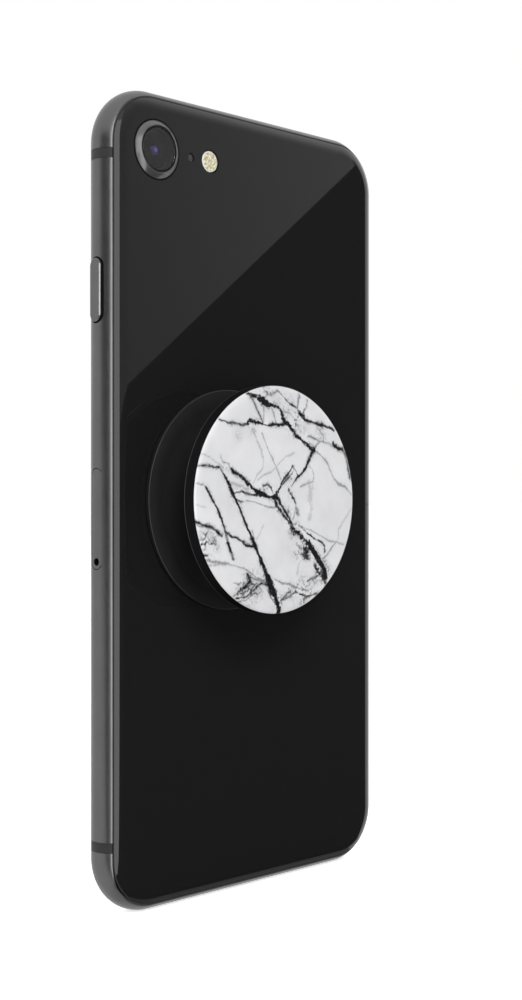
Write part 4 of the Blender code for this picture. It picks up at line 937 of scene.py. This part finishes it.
def make_front_eye():
    """Front camera's lens in its dark cone."""
    reach = EYE_RADIUS - 0.02
    profile = [(0.0, 0.06), (0.35, 0.08), (0.62, 0.16), (0.66, 0.18)]
    profile += [(reach - 0.03, 0.05), (reach, 0.07), (reach, EYE_DEPTH), (0.0, EYE_DEPTH)]
    eye = turned(profile, Node("front_camera").at, SMALL_ROUND)
    piece("front_camera_eye", eye, "lens", "black_glass", angle=25)


def make_screws():
    """Screw heads with a star recess."""
    for name in SCREWS:
        node = Node(name)
        x, head = node.middle.x, node.low.y
        levels = [(inset, -head - depth) for inset, depth in SCREW_LEVELS]
        disc = stack(2 * SCREW_RADIUS, 2 * SCREW_RADIUS, levels, on_bottom(x, MID))
        star = [rod((x, head, MID), STAR_RADIUS, STAR_DEPTH, "y", 24)]
        for lobe_x, lobe_z in arc((x, MID), STAR_REACH, 0.0, 2 * math.pi, 6)[:-1]:
            star.append(rod((lobe_x, head, lobe_z), STAR_LOBE, STAR_DEPTH, "y", 16))
        screw = cut(new_object(name + "_head", disc), *star)
        dress(screw, "steel", "steel", replaces=(name,), angle=30)


def make_port_contacts():
    mouth = Node("charge_port").low.y
    pads = []
    for k in range(CONTACTS):
        x = (k - (CONTACTS - 1) / 2) * CONTACT_PITCH
        pads.append(box((x - 0.2, mouth + 1.0, MID - 1.02), (x + 0.2, mouth + 4.6, MID - 0.92), 0.03))
    piece("port_contacts", merged(*pads), "gold", "copper")


def make_sound_mesh():
    """Dust mesh behind the sound holes."""
    inner = HALF_LENGTH - BAND_WALL + 0.35
    levels = ((0.0, inner - 0.1), (0.0, inner))
    reach = (GRILLE_HOLES - 1) * GRILLE_PITCH
    strips = []
    for side in (-1, 1):
        strips.append(stack(reach + 2.4, 1.9, levels, on_bottom(side * (GRILLE_FIRST + reach / 2), MID)))
    piece("sound_hole_mesh", merged(*strips), "mesh", "steel")


# The grip

ROLLED = math.radians(80)


def above(height):
    """The level at a height above the back glass."""
    return THICKNESS + height


def highlight_edge(inside, low, high):
    """Picks the faces beyond a radius about the grip's axis and between two levels, for a painted highlight.
    """
    return lambda face: math.dist(face.center.xy, GRIP.at) > inside and low < face.center.z < high


def make_grip_base():
    """Base dish with a sloping rim and a crisp outer edge; the dish is painted lighter and the edge carries a
    painted highlight line.
    """
    radius, rim = GRIP.radius, GRIP.high.z
    throat = Node("grip_bellows").radius + 0.01
    profile = [(0.0, above(1.2)), (throat, above(1.2)), (throat, rim), (radius - 1.5, rim - 0.05)]
    profile += [(radius - 0.08, above(1.05)), (radius, above(0.97)), (radius, above(0.3))]
    profile += [(radius - 0.12, above(0.12)), (radius - 1.6, above(0.1)), (radius - 1.6, above(0.6))]
    profile.append((0.0, above(0.6)))
    base = new_object("grip_base_dish", turned(profile, GRIP.at, 160))
    # Painted light on the dish and a painted highlight line along the outer edge.
    paint(base, ("dish", "arris"), highlight_edge(radius - 0.07, above(0.96), above(1.06)))
    dress(base, "dish", "grip_plastic", replaces=("grip_base",), angle=30)


def make_pad():
    """Adhesive pad under the base, its edge squeezed round."""
    pad = Node("grip_pad")
    reach = pad.radius - 0.15
    profile = [(0.0, pad.high.z), (reach, pad.high.z)]
    profile += arc((pad.radius - 0.2, above(0.3)), 0.2, ROLLED, -ROLLED, 8)
    profile += [(reach, pad.low.z), (0.0, pad.low.z)]
    piece("grip_adhesive_pad", turned(profile, GRIP.at), "rubber", "grip_rubber", replaces=("grip_pad",))


def make_bellows():
    """Accordion: its outer stage lies folded down as a cone, and rolled folds climb to the hub's flange."""
    node = Node("grip_bellows")
    foot, top = node.radius, node.high.z
    hub, rim = Node("grip_hub").radius, GRIP.high.z
    wall, neck, rise = 0.8, 12.2, 1.8
    folds, samples = 2, 64
    outer = [(foot, node.low.z)]
    for share in np.linspace(0.0, 1.0, 16):
        outer.append((foot - (foot - neck) * share, rim + rise * share**1.15))
    start = outer[-1][1]
    for step in range(1, samples + 1):
        t = step / samples
        roll = 0.42 * (math.cos(2 * math.pi * folds * t) - 1.0) * (1.0 - 0.25 * t)
        outer.append((neck + (hub + 0.75 - neck) * t + roll, start + (top - 0.25 - start) * t))
    inner = [(max(radius - wall, hub - 0.6), z) for radius, z in outer[::-1]]
    collar = [(0.55, 0.0), (0.5, 0.45), (0.4, 0.55), (0.06, 0.55), (0.06, 0.0)]
    collar = [(hub + reach, top + height) for reach, height in collar]
    bellows = new_object("grip_accordion", turned(outer + collar + inner, GRIP.at, 144, closed=True))
    dress(bellows, "rubber", "grip_rubber", body=None, replaces=("grip_bellows",), angle=50)
    ends = [STAND @ Vector((*GRIP.at, node.middle.z + reach)) for reach in (-5.0, 5.0)]
    tuple(ends[0])
    tuple(ends[1])
    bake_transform(bellows)


def make_cap():
    """Cap with a rolled upper edge, a hollow ring below and the bore for the hub."""
    node = Node("grip_cap")
    radius, low, high = node.radius, node.low.z, node.high.z
    bore, hollow, ceiling = 8.5, 10.6, high - 0.75
    profile = [(0.0, high), (radius - 0.12, high)]
    profile += arc((radius - 0.2, high - 0.2), 0.2, ROLLED, 0.0, 5)
    profile += [(radius - 0.02, low + 0.28), (radius, low + 0.24), (radius, low + 0.10), (radius - 0.10, low)]
    profile += [(radius - 1.4, low), (radius - 1.7, low + 0.18), (13.2, low + 0.30), (12.7, low + 0.08)]
    profile += [(12.2, low), (bore, low), (bore, low + 0.55), (hollow, low + 0.55), (hollow, ceiling)]
    profile.append((0.0, ceiling))
    cap = new_object("grip_cap_shell", turned(profile, GRIP.at, 192))
    # A painted highlight line along the cap's back edge.
    paint(cap, ("grip", "arris"), highlight_edge(radius - 0.09, low + 0.09, low + 0.25))
    dress(cap, "grip", "grip_plastic", "grip_cap", ("grip_cap",), angle=30)


# Veins of the printed marble, laid out on a drawing of the face: darkness and raggedness in percent, then
# points as x to the right, y down and the width there
DRAWING_MIDDLE = 700
DRAWING_RADIUS = 660
VEINS = (
    (100, 60, (440, 98, 10), (505, 108, 20), (560, 125, 34), (610, 148, 36), (650, 152, 18)),
    (100, 70, (650, 152, 18), (700, 168, 17), (722, 195, 20), (745, 240, 24), (790, 262, 28),
     (822, 292, 24), (840, 325, 16)),
    (100, 60, (840, 325, 16), (885, 345, 24), (930, 365, 18), (1000, 408, 24)),
    (95, 45, (1000, 408, 22), (985, 425, 16), (925, 515, 17), (840, 580, 9)),
    (55, 30, (840, 580, 9), (805, 622, 7)),
    (42, 40, (1010, 410, 10), (1060, 435, 8), (1110, 470, 8), (1175, 570, 7), (1220, 605, 13),
     (1280, 620, 11), (1340, 670, 8)),
    (75, 60, (685, 68, 12), (760, 120, 9), (855, 165, 12), (880, 197, 18)),
    (100, 60, (870, 192, 14), (895, 205, 22), (920, 224, 18), (980, 238, 10), (1150, 270, 15),
     (1180, 285, 9)),
    (75, 60, (225, 255, 8), (290, 268, 10), (360, 265, 9), (400, 277, 11), (440, 266, 14)),
    (100, 60, (440, 268, 14), (460, 250, 20), (570, 263, 12), (615, 277, 11), (660, 265, 11),
     (700, 268, 13), (745, 260, 9)),
    (65, 40, (455, 105, 9), (485, 130, 9), (570, 260, 10)),
    (40, 40, (575, 150, 8), (572, 255, 9)),
    (40, 40, (620, 155, 8), (650, 185, 7), (670, 245, 8)),
    (50, 60, (572, 68, 8), (600, 80, 11), (590, 100, 9), (560, 120, 9)),
    (45, 50, (600, 95, 7), (685, 75, 9)),
    (55, 50, (872, 85, 10), (855, 165, 10), (862, 195, 12)),
    (60, 50, (945, 110, 9), (932, 150, 9), (905, 190, 10)),
    (65, 90, (862, 198, 10), (836, 282, 12)),
    (40, 70, (735, 180, 8), (800, 205, 9), (835, 232, 9)),
    (55, 40, (945, 325, 8), (990, 330, 8), (1040, 352, 9), (1085, 355, 8)),
    (55, 40, (1000, 408, 10), (1020, 380, 9), (1050, 355, 8)),
    (35, 40, (1020, 265, 7), (1085, 320, 6), (1085, 355, 7)),
    (35, 40, (1085, 355, 7), (1130, 360, 7), (1170, 380, 8)),
    (95, 60, (1170, 350, 8), (1180, 374, 15), (1268, 398, 11)),
    (90, 40, (1258, 385, 9), (1295, 440, 10), (1326, 562, 8)),
    (50, 40, (1275, 392, 7), (1310, 440, 7), (1340, 580, 7)),
    (45, 70, (230, 455, 8), (245, 485, 9), (290, 505, 10), (330, 535, 14)),
    (95, 70, (318, 528, 14), (490, 632, 20)),
    (100, 50, (490, 632, 20), (520, 655, 22), (560, 672, 20), (600, 680, 17), (640, 686, 24),
     (668, 682, 34)),
    (95, 50, (668, 678, 30), (690, 655, 20), (720, 602, 13), (818, 506, 12)),
    (75, 60, (700, 640, 12), (755, 588, 10), (800, 556, 10), (828, 524, 9)),
    (60, 50, (818, 506, 12), (845, 530, 9), (860, 555, 10), (842, 585, 8)),
    (75, 50, (568, 622, 8), (600, 612, 10), (630, 628, 11), (652, 660, 12)),
    (40, 30, (560, 320, 9), (590, 380, 7), (680, 515, 7), (715, 580, 8)),
    (22, 60, (490, 300, 16), (520, 370, 12), (555, 420, 10), (570, 470, 8)),
    (25, 30, (485, 610, 6), (520, 560, 6), (565, 520, 7), (570, 450, 6)),
    (25, 30, (520, 590, 6), (570, 560, 6), (640, 535, 6), (750, 455, 6), (830, 425, 6)),
    (25, 60, (310, 605, 14), (450, 640, 10)),
    (75, 50, (345, 662, 10), (390, 655, 12), (470, 672, 11), (520, 670, 14)),
    (65, 60, (348, 700, 16), (385, 712, 13), (402, 708, 8)),
    (40, 30, (430, 705, 6), (500, 712, 6), (620, 744, 10), (672, 742, 10)),
    (90, 60, (690, 690, 20), (720, 735, 14), (780, 798, 14), (800, 830, 12)),
    (85, 70, (662, 700, 16), (690, 745, 13), (840, 885, 20)),
    (100, 70, (830, 880, 18), (920, 935, 20), (950, 958, 34)),
    (100, 40, (950, 955, 34), (1085, 1110, 26), (1112, 1168, 20)),
    (80, 70, (1010, 1088, 14), (1040, 1130, 20), (1108, 1200, 18)),
    (80, 90, (905, 985, 16), (930, 1000, 30), (918, 1028, 20), (945, 1052, 12)),
    (60, 60, (798, 868, 12), (825, 905, 14)),
    (40, 60, (845, 955, 14), (880, 985, 14)),
    (60, 60, (870, 850, 9), (895, 862, 12), (940, 900, 12)),
    (95, 60, (935, 898, 12), (1070, 955, 9), (1095, 980, 10), (1100, 1008, 14)),
    (35, 30, (895, 860, 7), (1000, 890, 7), (1130, 945, 7), (1200, 955, 8), (1270, 975, 7)),
    (40, 40, (1205, 950, 8), (1160, 985, 9), (1120, 1030, 8), (1080, 1055, 9)),
    (20, 40, (1340, 750, 8), (1220, 880, 9), (1215, 940, 9)),
    (75, 50, (780, 640, 10), (805, 662, 15), (838, 718, 14)),
    (50, 70, (838, 718, 12), (862, 790, 9)),
    (35, 50, (840, 762, 8), (820, 812, 8)),
    (16, 80, (960, 600, 26), (975, 640, 24), (965, 700, 26), (970, 760, 26), (958, 812, 20)),
    (35, 40, (958, 500, 7), (985, 520, 7), (1002, 560, 8), (990, 592, 9), (880, 625, 7)),
    (60, 30, (225, 520, 8), (255, 560, 10)),
    (100, 34, (252, 556, 10), (290, 605, 20), (415, 810, 12)),
    (100, 34, (415, 810, 12), (580, 1095, 24)),
    (100, 38, (580, 1095, 24), (640, 1208, 37), (690, 1305, 36), (700, 1345, 38)),
    (45, 40, (55, 610, 9), (100, 618, 8), (122, 636, 10)),
    (95, 30, (118, 632, 12), (200, 745, 11), (235, 805, 17), (255, 850, 12)),
    (55, 50, (255, 850, 12), (285, 935, 14)),
    (95, 40, (283, 938, 13), (315, 995, 13)),
    (55, 60, (315, 995, 14), (330, 1032, 20)),
    (80, 40, (45, 820, 9), (90, 840, 10), (140, 845, 12), (180, 860, 14), (242, 902, 11)),
    (85, 40, (262, 880, 9), (310, 905, 14), (350, 912, 11), (400, 935, 13), (440, 965, 13), (500, 963, 12)),
    (45, 50, (130, 1035, 14), (320, 1065, 8), (420, 1090, 9)),
    (50, 50, (420, 1090, 9), (520, 1145, 9), (580, 1165, 9), (620, 1200, 10)),
    (35, 60, (150, 1062, 9), (200, 1060, 10), (240, 1050, 10)),
    (90, 70, (440, 1122, 10), (456, 1140, 14), (462, 1162, 11), (446, 1180, 12), (420, 1195, 18),
     (392, 1206, 12)),
    (85, 60, (360, 1257, 10), (410, 1256, 11), (440, 1245, 13), (560, 1170, 9)),
    (50, 60, (325, 1165, 7), (370, 1172, 10), (388, 1164, 8)),
    (65, 60, (335, 1243, 9), (395, 1210, 12)),
    (65, 60, (380, 1280, 8), (430, 1272, 11), (480, 1238, 10)),
    (50, 60, (465, 1140, 9), (560, 1168, 9)),
    (65, 60, (560, 1170, 10), (600, 1192, 11), (630, 1230, 14)),
    (65, 70, (606, 1218, 10), (640, 1272, 13), (682, 1302, 14)),
    (65, 40, (712, 1290, 10), (770, 1245, 9), (800, 1236, 9)),
    (60, 50, (728, 1285, 9), (850, 1238, 11)),
    (45, 60, (670, 1160, 7), (730, 1185, 10), (790, 1190, 11), (850, 1215, 11), (950, 1240, 11)),
    (75, 60, (838, 1235, 12), (880, 1255, 14), (940, 1270, 16), (1042, 1254, 10)),
    (60, 60, (945, 1182, 12), (970, 1170, 12), (1050, 1150, 9)),
    (20, 70, (856, 1140, 14), (868, 1080, 14), (882, 1060, 10)),
    (80, 50, (65, 512, 8), (140, 510, 8), (180, 521, 11), (215, 517, 13)),
    (25, 30, (90, 445, 7), (150, 465, 7), (250, 520, 8)),
    (20, 30, (50, 725, 8), (110, 740, 7)),
    (45, 60, (478, 872, 6), (500, 950, 12)),
    (25, 40, (510, 930, 8), (545, 890, 8), (570, 850, 7)),
)
# Patches of haze on the same drawing: x, y, radius, and strength in percent
HAZES = (
    (115, 965, 70, 95), (930, 1000, 60, 60), (1080, 1130, 62, 60), (875, 995, 65, 28), (470, 1200, 92, 45),
    (400, 1240, 66, 40), (690, 1290, 46, 50), (900, 1245, 80, 45), (800, 1240, 54, 30), (590, 92, 60, 35),
    (820, 240, 70, 42), (900, 300, 70, 15), (750, 150, 80, 25), (1060, 300, 66, 20), (770, 790, 46, 45),
    (830, 880, 54, 40), (785, 560, 40, 42), (350, 680, 52, 25), (820, 680, 34, 35), (262, 520, 46, 22),
    (372, 340, 42, 14), (485, 315, 34, 22), (650, 680, 36, 35), (590, 640, 40, 22), (1010, 1180, 50, 20),
)


def ripple(points, scale, seed):
    """Smooth noise at each point, about -1 to 1."""
    return np.array([noise.noise(Vector((x * scale, y * scale, seed))) for x, y in points])


def wander(points, scale, seed):
    """Smooth noise vectors at each point."""
    return np.array([noise.noise_vector(Vector((x * scale, y * scale, seed)))[:2] for x, y in points])


def path_distance(points, path, widths):
    """Distance from each point to a polyline, and the half width at the nearest place on it."""
    nearest = np.full(len(points), np.inf)
    half = np.full(len(points), widths[0])
    for one, two, first, last in zip(path, path[1:], widths, widths[1:]):
        along = two - one
        t = np.clip(((points - one) @ along) / (along @ along), 0.0, 1.0)
        gap = np.linalg.norm(points - one - t[:, None] * along, axis=1)
        closer = gap < nearest
        nearest[closer] = gap[closer]
        half[closer] = first + (last - first) * t[closer]
    return nearest, half


def vein_values(points, radius):
    """Vein and haze strength at each (x, y) on the face."""
    noise.seed_set(VEIN_SEED)
    drift = 0.25 * wander(points, 0.35, 3.1) + 0.30 * wander(points, 1.0, 5.9)
    drift += 0.16 * wander(points, 2.6, 7.7)
    swell = ripple(points, 0.52, 1.3)
    ragged = ripple(points, 2.3, 2.9)
    splinter = 1.2 * ripple(points, 4.2, 9.2)
    vein = np.zeros(len(points))
    haze = np.zeros(len(points))
    unit = radius / DRAWING_RADIUS
    for dark, rough, *places in VEINS:
        dark, rough = dark / 100, rough / 100
        table = np.array(places) * unit
        path = (table[:, :2] - DRAWING_MIDDLE * unit) * (1, -1)
        widths = np.maximum(table[:, 2] / 2, VEIN_BLUR)
        low, high = path.min(axis=0) - VEIN_REACH, path.max(axis=0) + VEIN_REACH
        near = np.all((points > low) & (points < high), axis=1)
        gap, half = path_distance(points[near] + rough * drift[near], path, widths)
        uneven = 1.5 * swell[near] + 1.3 * ragged[near] + splinter[near]
        half = half * np.clip(1.15 + rough * uneven, 0.2, 2.2)
        line = np.clip(0.5 + (half - gap) / (2 * VEIN_BLUR), 0.0, 1.0)
        worn = np.clip(1.1 - rough * (0.1 + 0.9 * splinter[near]), 0.35, 1.0)
        vein[near] = np.maximum(vein[near], dark * line * worn)
        cloud = np.clip(0.5 + 1.3 * swell[near] + 0.7 * ragged[near], 0.0, 1.0)
        glow = 0.55 * dark * np.exp(-((gap / (half + 0.30)) ** 2)) * cloud
        haze[near] = np.maximum(haze[near], glow)
    cloud = np.clip(0.55 + 1.2 * swell + 1.3 * ragged, 0.0, 1.0)
    for x, y, spread, strength in HAZES:
        middle = np.array((x - DRAWING_MIDDLE, DRAWING_MIDDLE - y)) * unit
        gap = np.linalg.norm(points - middle, axis=1) / (spread * unit)
        haze = np.maximum(haze, 1.4 * strength / 100 * np.exp(-(gap**2)) * cloud)
    return vein, np.minimum(haze, 0.9)


def make_face():
    """Printed disc with a rolled edge; the veins are painted on its fine mesh."""
    node = Node("grip_face")
    radius, low, high = node.radius, node.low.z, node.high.z
    roll, drop, rings = 1.1, 0.40, 165
    profile = [((radius - roll) * k / rings, high) for k in range(rings)]
    profile += [(radius - roll * (1 - s), high - drop * (1 - c)) for c, s in sweep(0.0, QUARTER, 10)]
    profile += [(radius, low + 0.04), (radius - 0.1, low), (0.0, low)]
    face = new_object("grip_marble_face", turned(profile, GRIP.at, 600))
    points = np.array([vertex.co.xy for vertex in face.data.vertices]) - GRIP.at
    for name, values in zip(("vein", "haze"), vein_values(points, radius)):
        layer = face.data.attributes.new(name, "FLOAT", "POINT")
        layer.data.foreach_set("value", values.astype(np.float32))
    dress(face, "marble", "marble_print", "grip_cap", ("grip_face",), angle=40)


# Nodes that stay as the CAD made them, inside the housing or in the hub
INNER_LOOKS = {
    "plastic": ("side_switch", "volume_up_switch", "volume_down_switch", "ring_switch_body", "camera_module",
                "display_panel", "display_frame", "home_sensor", "earpiece_speaker", "front_camera",
                "loudspeaker"),
    "steel": ("sim_reader", "eject_rod", "eject_lever", "rear_microphone", "display_shield", "charge_port",
              "haptic_motor", "bottom_microphone", "board_screw_1", "board_screw_2", "board_screw_3",
              "shield_can_upper", "shield_can_lower"),
    "flash": ("flash_led",),
    "board": ("flash_board", "logic_board"),
    "cell": ("battery",),
    "copper": ("charging_coil",),
    "grip": ("grip_hub",),
}


def dress_inner_nodes():
    for look, names in INNER_LOOKS.items():
        for name in names:
            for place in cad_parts[name].material_slots:
                place.material = LOOKS[look]


# Studio, in metres

AMBIENT = 0.45
FLOOR_LIFT = 0.62
CAMERA_PLACE = Vector((-0.19023, -0.18520, 0.06944))
CAMERA_AIM = Vector((0.7143, 0.6999, -0.0007))
LENS = 53.72
SENSOR = 36.0
IMAGE = (522, 1000)

# Pixels of the photograph where the bright diagonal on the back glass starts and ends
DIAGONAL_RIGHT = (350, 170.5)
DIAGONAL_LEFT = (135, 377.5)

# Panels square to the line from the phone to their middle: distance, edges, and the dim card's brightness
PANEL_DISTANCE = 1.3
PANEL_NORMAL = Vector((0.7143, -0.6999, 0.0)).normalized()
PANEL_ACROSS = Vector((0.6999, 0.7143, 0.0)).normalized()
PANEL_LEFT = -1.70
PANEL_RIGHT = 0.32
FLAG_LOW = -0.2
FLAG_HIGH = 1.0
CARD_TOP = 3.0
CARD_LEVEL = 0.410
CARD_ACROSS = 0.847
CARD_UP = 0.170

# Panels given by directions from the phone, in degrees
SOFTBOX = (7.0, 50.0)
SOFTBOX_HIGH = 1.1
LOW_CARD = (7.0, 34.0)
RIGHT_CARD = (-58.3, -80.0, -100.0, -120.0, -140.0)
RIGHT_CARD_FAR = 18.0
SIDE_FLAG_FAR = 1.2
SIDE_FLAG_FLOOR = (58.0, 82.0)
SIDE_FLAG_LOW = (54.0, 90.0)
SIDE_FLAG_HIGH = (52.0, 114.0)

# Low panels lie a hair above the floor
HAIR = Vector((0, 0, 0.4 * MM))
STRIP_LEVEL = 0.03 * MM
NEAR_Y = 1.5 * MM
STRIP_REACH = (HALF_WIDTH - 4.0) * MM
RIM_STRIP = (0.5 * MM, 3.65 * MM)
FLOOR_STRIP = (3.65 * MM, 12.0 * MM)


def emission(name, strength):
    nodes = Nodes(bpy.data.materials.new(name))
    return nodes.surface(nodes.glow(strength))


def make_world():
    """White where it is seen, directly or in gloss and glass, and dimmer as light."""
    SCENE.world = bpy.data.worlds.new("studio")
    nodes = Nodes(SCENE.world)
    path = nodes.add("ShaderNodeLightPath")
    seen = path["Is Camera Ray"]
    for name in ("Is Glossy Ray", "Is Transmission Ray"):
        seen = nodes.math("MAXIMUM", seen, path[name])
    strength = nodes.ramp(seen, AMBIENT, 1.0, 0.0, 1.0)
    back = nodes.add("ShaderNodeBackground", {"Color": WHITE, "Strength": strength})[0]
    nodes.surface(back, "ShaderNodeOutputWorld")


def make_floor():
    """Pale floor that runs out to white and keeps the shadow."""
    builder = bmesh.new()
    bmesh.ops.create_grid(builder, x_segments=1, y_segments=1, size=20.0)
    floor = new_object("floor", builder)
    floor.location.z = -0.02 * MM
    nodes = Nodes(bpy.data.materials.new("floor"))
    matt = nodes.add("ShaderNodeBsdfDiffuse", {"Color": (0.88, 0.88, 0.88)})[0]
    seen = nodes.add("ShaderNodeLightPath")["Is Camera Ray"]
    glow = nodes.glow(nodes.ramp(seen, 0.0, FLOOR_LIFT, 0.0, 1.0))
    total = nodes.add("ShaderNodeAddShader", {0: matt, 1: glow})[0]
    floor.data.materials.append(nodes.surface(total))


def panel(name, places, material):
    """A flat studio panel that only reflections see."""
    builder = bmesh.new()
    builder.faces.new([builder.verts.new(place) for place in places])
    made = new_object(name, builder)
    made.data.materials.append(material)
    made.visible_camera = False
    made.visible_diffuse = False
    made.visible_transmission = False
    made.visible_shadow = False


def low_panel(name, places, material):
    panel(name, [place + HAIR for place in places], material)


def pixel_ray(x, y):
    """Direction of the camera's ray through a pixel of the photograph's frame."""
    forward = CAMERA_AIM.normalized()
    right = forward.cross(Vector((0, 0, 1))).normalized()
    up = right.cross(forward)
    scale = SENSOR / IMAGE[1] / LENS
    return (forward + right * (x - IMAGE[0] / 2) * scale - up * (y - IMAGE[1] / 2) * scale).normalized()


def mirrored_on_panel(x, y):
    """Where a pixel of the back glass sees the reflecting panels, as (across, height)."""
    ray = pixel_ray(x, y)
    back = DISPLAY_Y - THICKNESS * MM
    hit = CAMERA_PLACE + ray * ((back - CAMERA_PLACE.y) / ray.y)
    away = Vector((ray.x, -ray.y, ray.z))
    far = hit + away * ((PANEL_DISTANCE - hit.dot(PANEL_NORMAL)) / away.dot(PANEL_NORMAL))
    return Vector((far.dot(PANEL_ACROSS), far.z))


def on_panel(across, height, behind=0.0):
    return PANEL_NORMAL * (PANEL_DISTANCE + behind) + PANEL_ACROSS * across + Vector((0, 0, height))


def toward(degrees, distance, height=0.0):
    """A place in a direction counted from straight behind the phone (-Y) towards the side button (-X)."""
    angle = math.radians(degrees)
    return Vector((-math.sin(angle) * distance, -math.cos(angle) * distance, height))


def card_glow():
    """Dim card, brighter towards its right and its top."""
    nodes = Nodes(bpy.data.materials.new("card"))
    place = nodes.add("ShaderNodeTexCoord")["Object"]
    slope = PANEL_ACROSS * CARD_ACROSS + Vector((0, 0, CARD_UP))
    slant = nodes.vector("DOT_PRODUCT", place, slope)["Value"]
    plain = nodes.ramp(slant, CARD_LEVEL - 0.10, CARD_LEVEL + 0.60, -0.10, 0.60)
    height = nodes.add("ShaderNodeSeparateXYZ", {0: place})["Z"]
    return nodes.surface(nodes.glow(nodes.math("ADD", plain, nodes.ramp(height, 0.0, 0.3, 0.55, 2.5))))


def make_back_panels():
    """What the back glass shows: a dark flag, the floor before it, and a dim card above the diagonal."""
    dark = emission("flag", 0.02)
    left, right = PANEL_LEFT, PANEL_RIGHT
    outline = ((left, FLAG_LOW), (right, FLAG_LOW), (right, FLAG_HIGH), (left, FLAG_HIGH))
    panel("dark_flag", [on_panel(*place, 0.02) for place in outline], dark)
    start, end = (Vector((side * (HALF_WIDTH + 2.0) * MM, NEAR_Y, 0.0)) for side in (-1, 1))
    low_panel("low_flag", [start, on_panel(left, 0.0, 0.03), on_panel(right, 0.0, 0.03), end], dark)
    far = [toward(angle, RIGHT_CARD_FAR) for angle in RIGHT_CARD]
    low_panel("right_card", [end, *far], emission("right_card", 0.95))
    first, second = mirrored_on_panel(*DIAGONAL_RIGHT), mirrored_on_panel(*DIAGONAL_LEFT)
    slope = (second - first) / (second.x - first.x)
    first += slope * (right - first.x)
    second -= slope * 0.012
    outline = (first, second, (left, second.y), (left, CARD_TOP), (right, CARD_TOP))
    panel("dim_card", [on_panel(*place) for place in outline], card_glow())
    glow = emission("softbox", 2.5)
    near, far = (toward(angle, PANEL_DISTANCE) for angle in SOFTBOX)
    top = Vector((0, 0, SOFTBOX_HIGH))
    panel("softbox", [near, far, far + top, near + top], glow)
    low_panel("low_card", [start] + [toward(angle, PANEL_DISTANCE) for angle in LOW_CARD], glow)


def make_edge_panels():
    """What the bottom edge and the side band show: two strips under the phone and a flag at its side."""
    for name, (near, far), strength in (("rim_flag", RIM_STRIP, 0.30), ("floor_strip", FLOOR_STRIP, 0.88)):
        outline = ((-1, near), (1, near), (1, far), (-1, far))
        places = [Vector((side * STRIP_REACH, y, STRIP_LEVEL)) for side, y in outline]
        panel(name, places, emission(name, strength))
    shade = emission("side_flag", 0.10)
    foot = [toward(angle, SIDE_FLAG_FAR, -0.3) for angle in SIDE_FLAG_LOW]
    head = [toward(angle, SIDE_FLAG_FAR, 0.6) for angle in SIDE_FLAG_HIGH]
    panel("side_flag", [*foot, *head[::-1]], shade)
    far = [toward(angle, SIDE_FLAG_FAR) for angle in SIDE_FLAG_FLOOR]
    low_panel("side_low_flag", [Vector((-HALF_WIDTH * MM, 0, 0)), *far], shade)


def linked(name, data, place, aim):
    """A lamp or camera in the scene at a place, looking along a direction."""
    made = bpy.data.objects.new(name, data)
    made.location = place
    made.rotation_euler = aim.to_track_quat("-Z", "Y").to_euler()
    SCENE.collection.objects.link(made)
    return made


def lamp(name, place, size, power):
    light = bpy.data.lights.new(name, "AREA")
    light.shape = "DISK"
    light.size = size
    light.energy = power
    aim = Vector((0.0, 0.0, HALF_LENGTH * MM)) - Vector(place)
    linked(name, light, place, aim).visible_glossy = False


def make_camera_view():
    data = bpy.data.cameras.new("camera")
    data.lens = LENS
    data.sensor_width = SENSOR
    SCENE.camera = linked("camera", data, CAMERA_PLACE, CAMERA_AIM)


def make_studio():
    SCENE.view_settings.view_transform = "Standard"
    make_world()
    make_floor()
    make_back_panels()
    make_edge_panels()
    lamp("key", (-0.8, -1.3, 1.1), 0.9, 21.5)
    lamp("left", (-1.5, 0.5, 0.8), 0.8, 8.0)
    lamp("fill", (0.9, 1.2, 1.2), 0.9, 12.0)
    make_camera_view()


make_band()
make_inserts()
make_glasses()
make_seals()
make_buttons()
make_ring_switch()
make_tray()
make_bezel()
make_pane()
make_barrel()
make_flash()
make_microphone()
make_home_button()
make_earpiece()
make_front_eye()
make_screws()
make_port_contacts()
make_sound_mesh()
make_grip_base()
make_pad()
make_bellows()
make_cap()
make_face()
dress_inner_nodes()
make_studio()
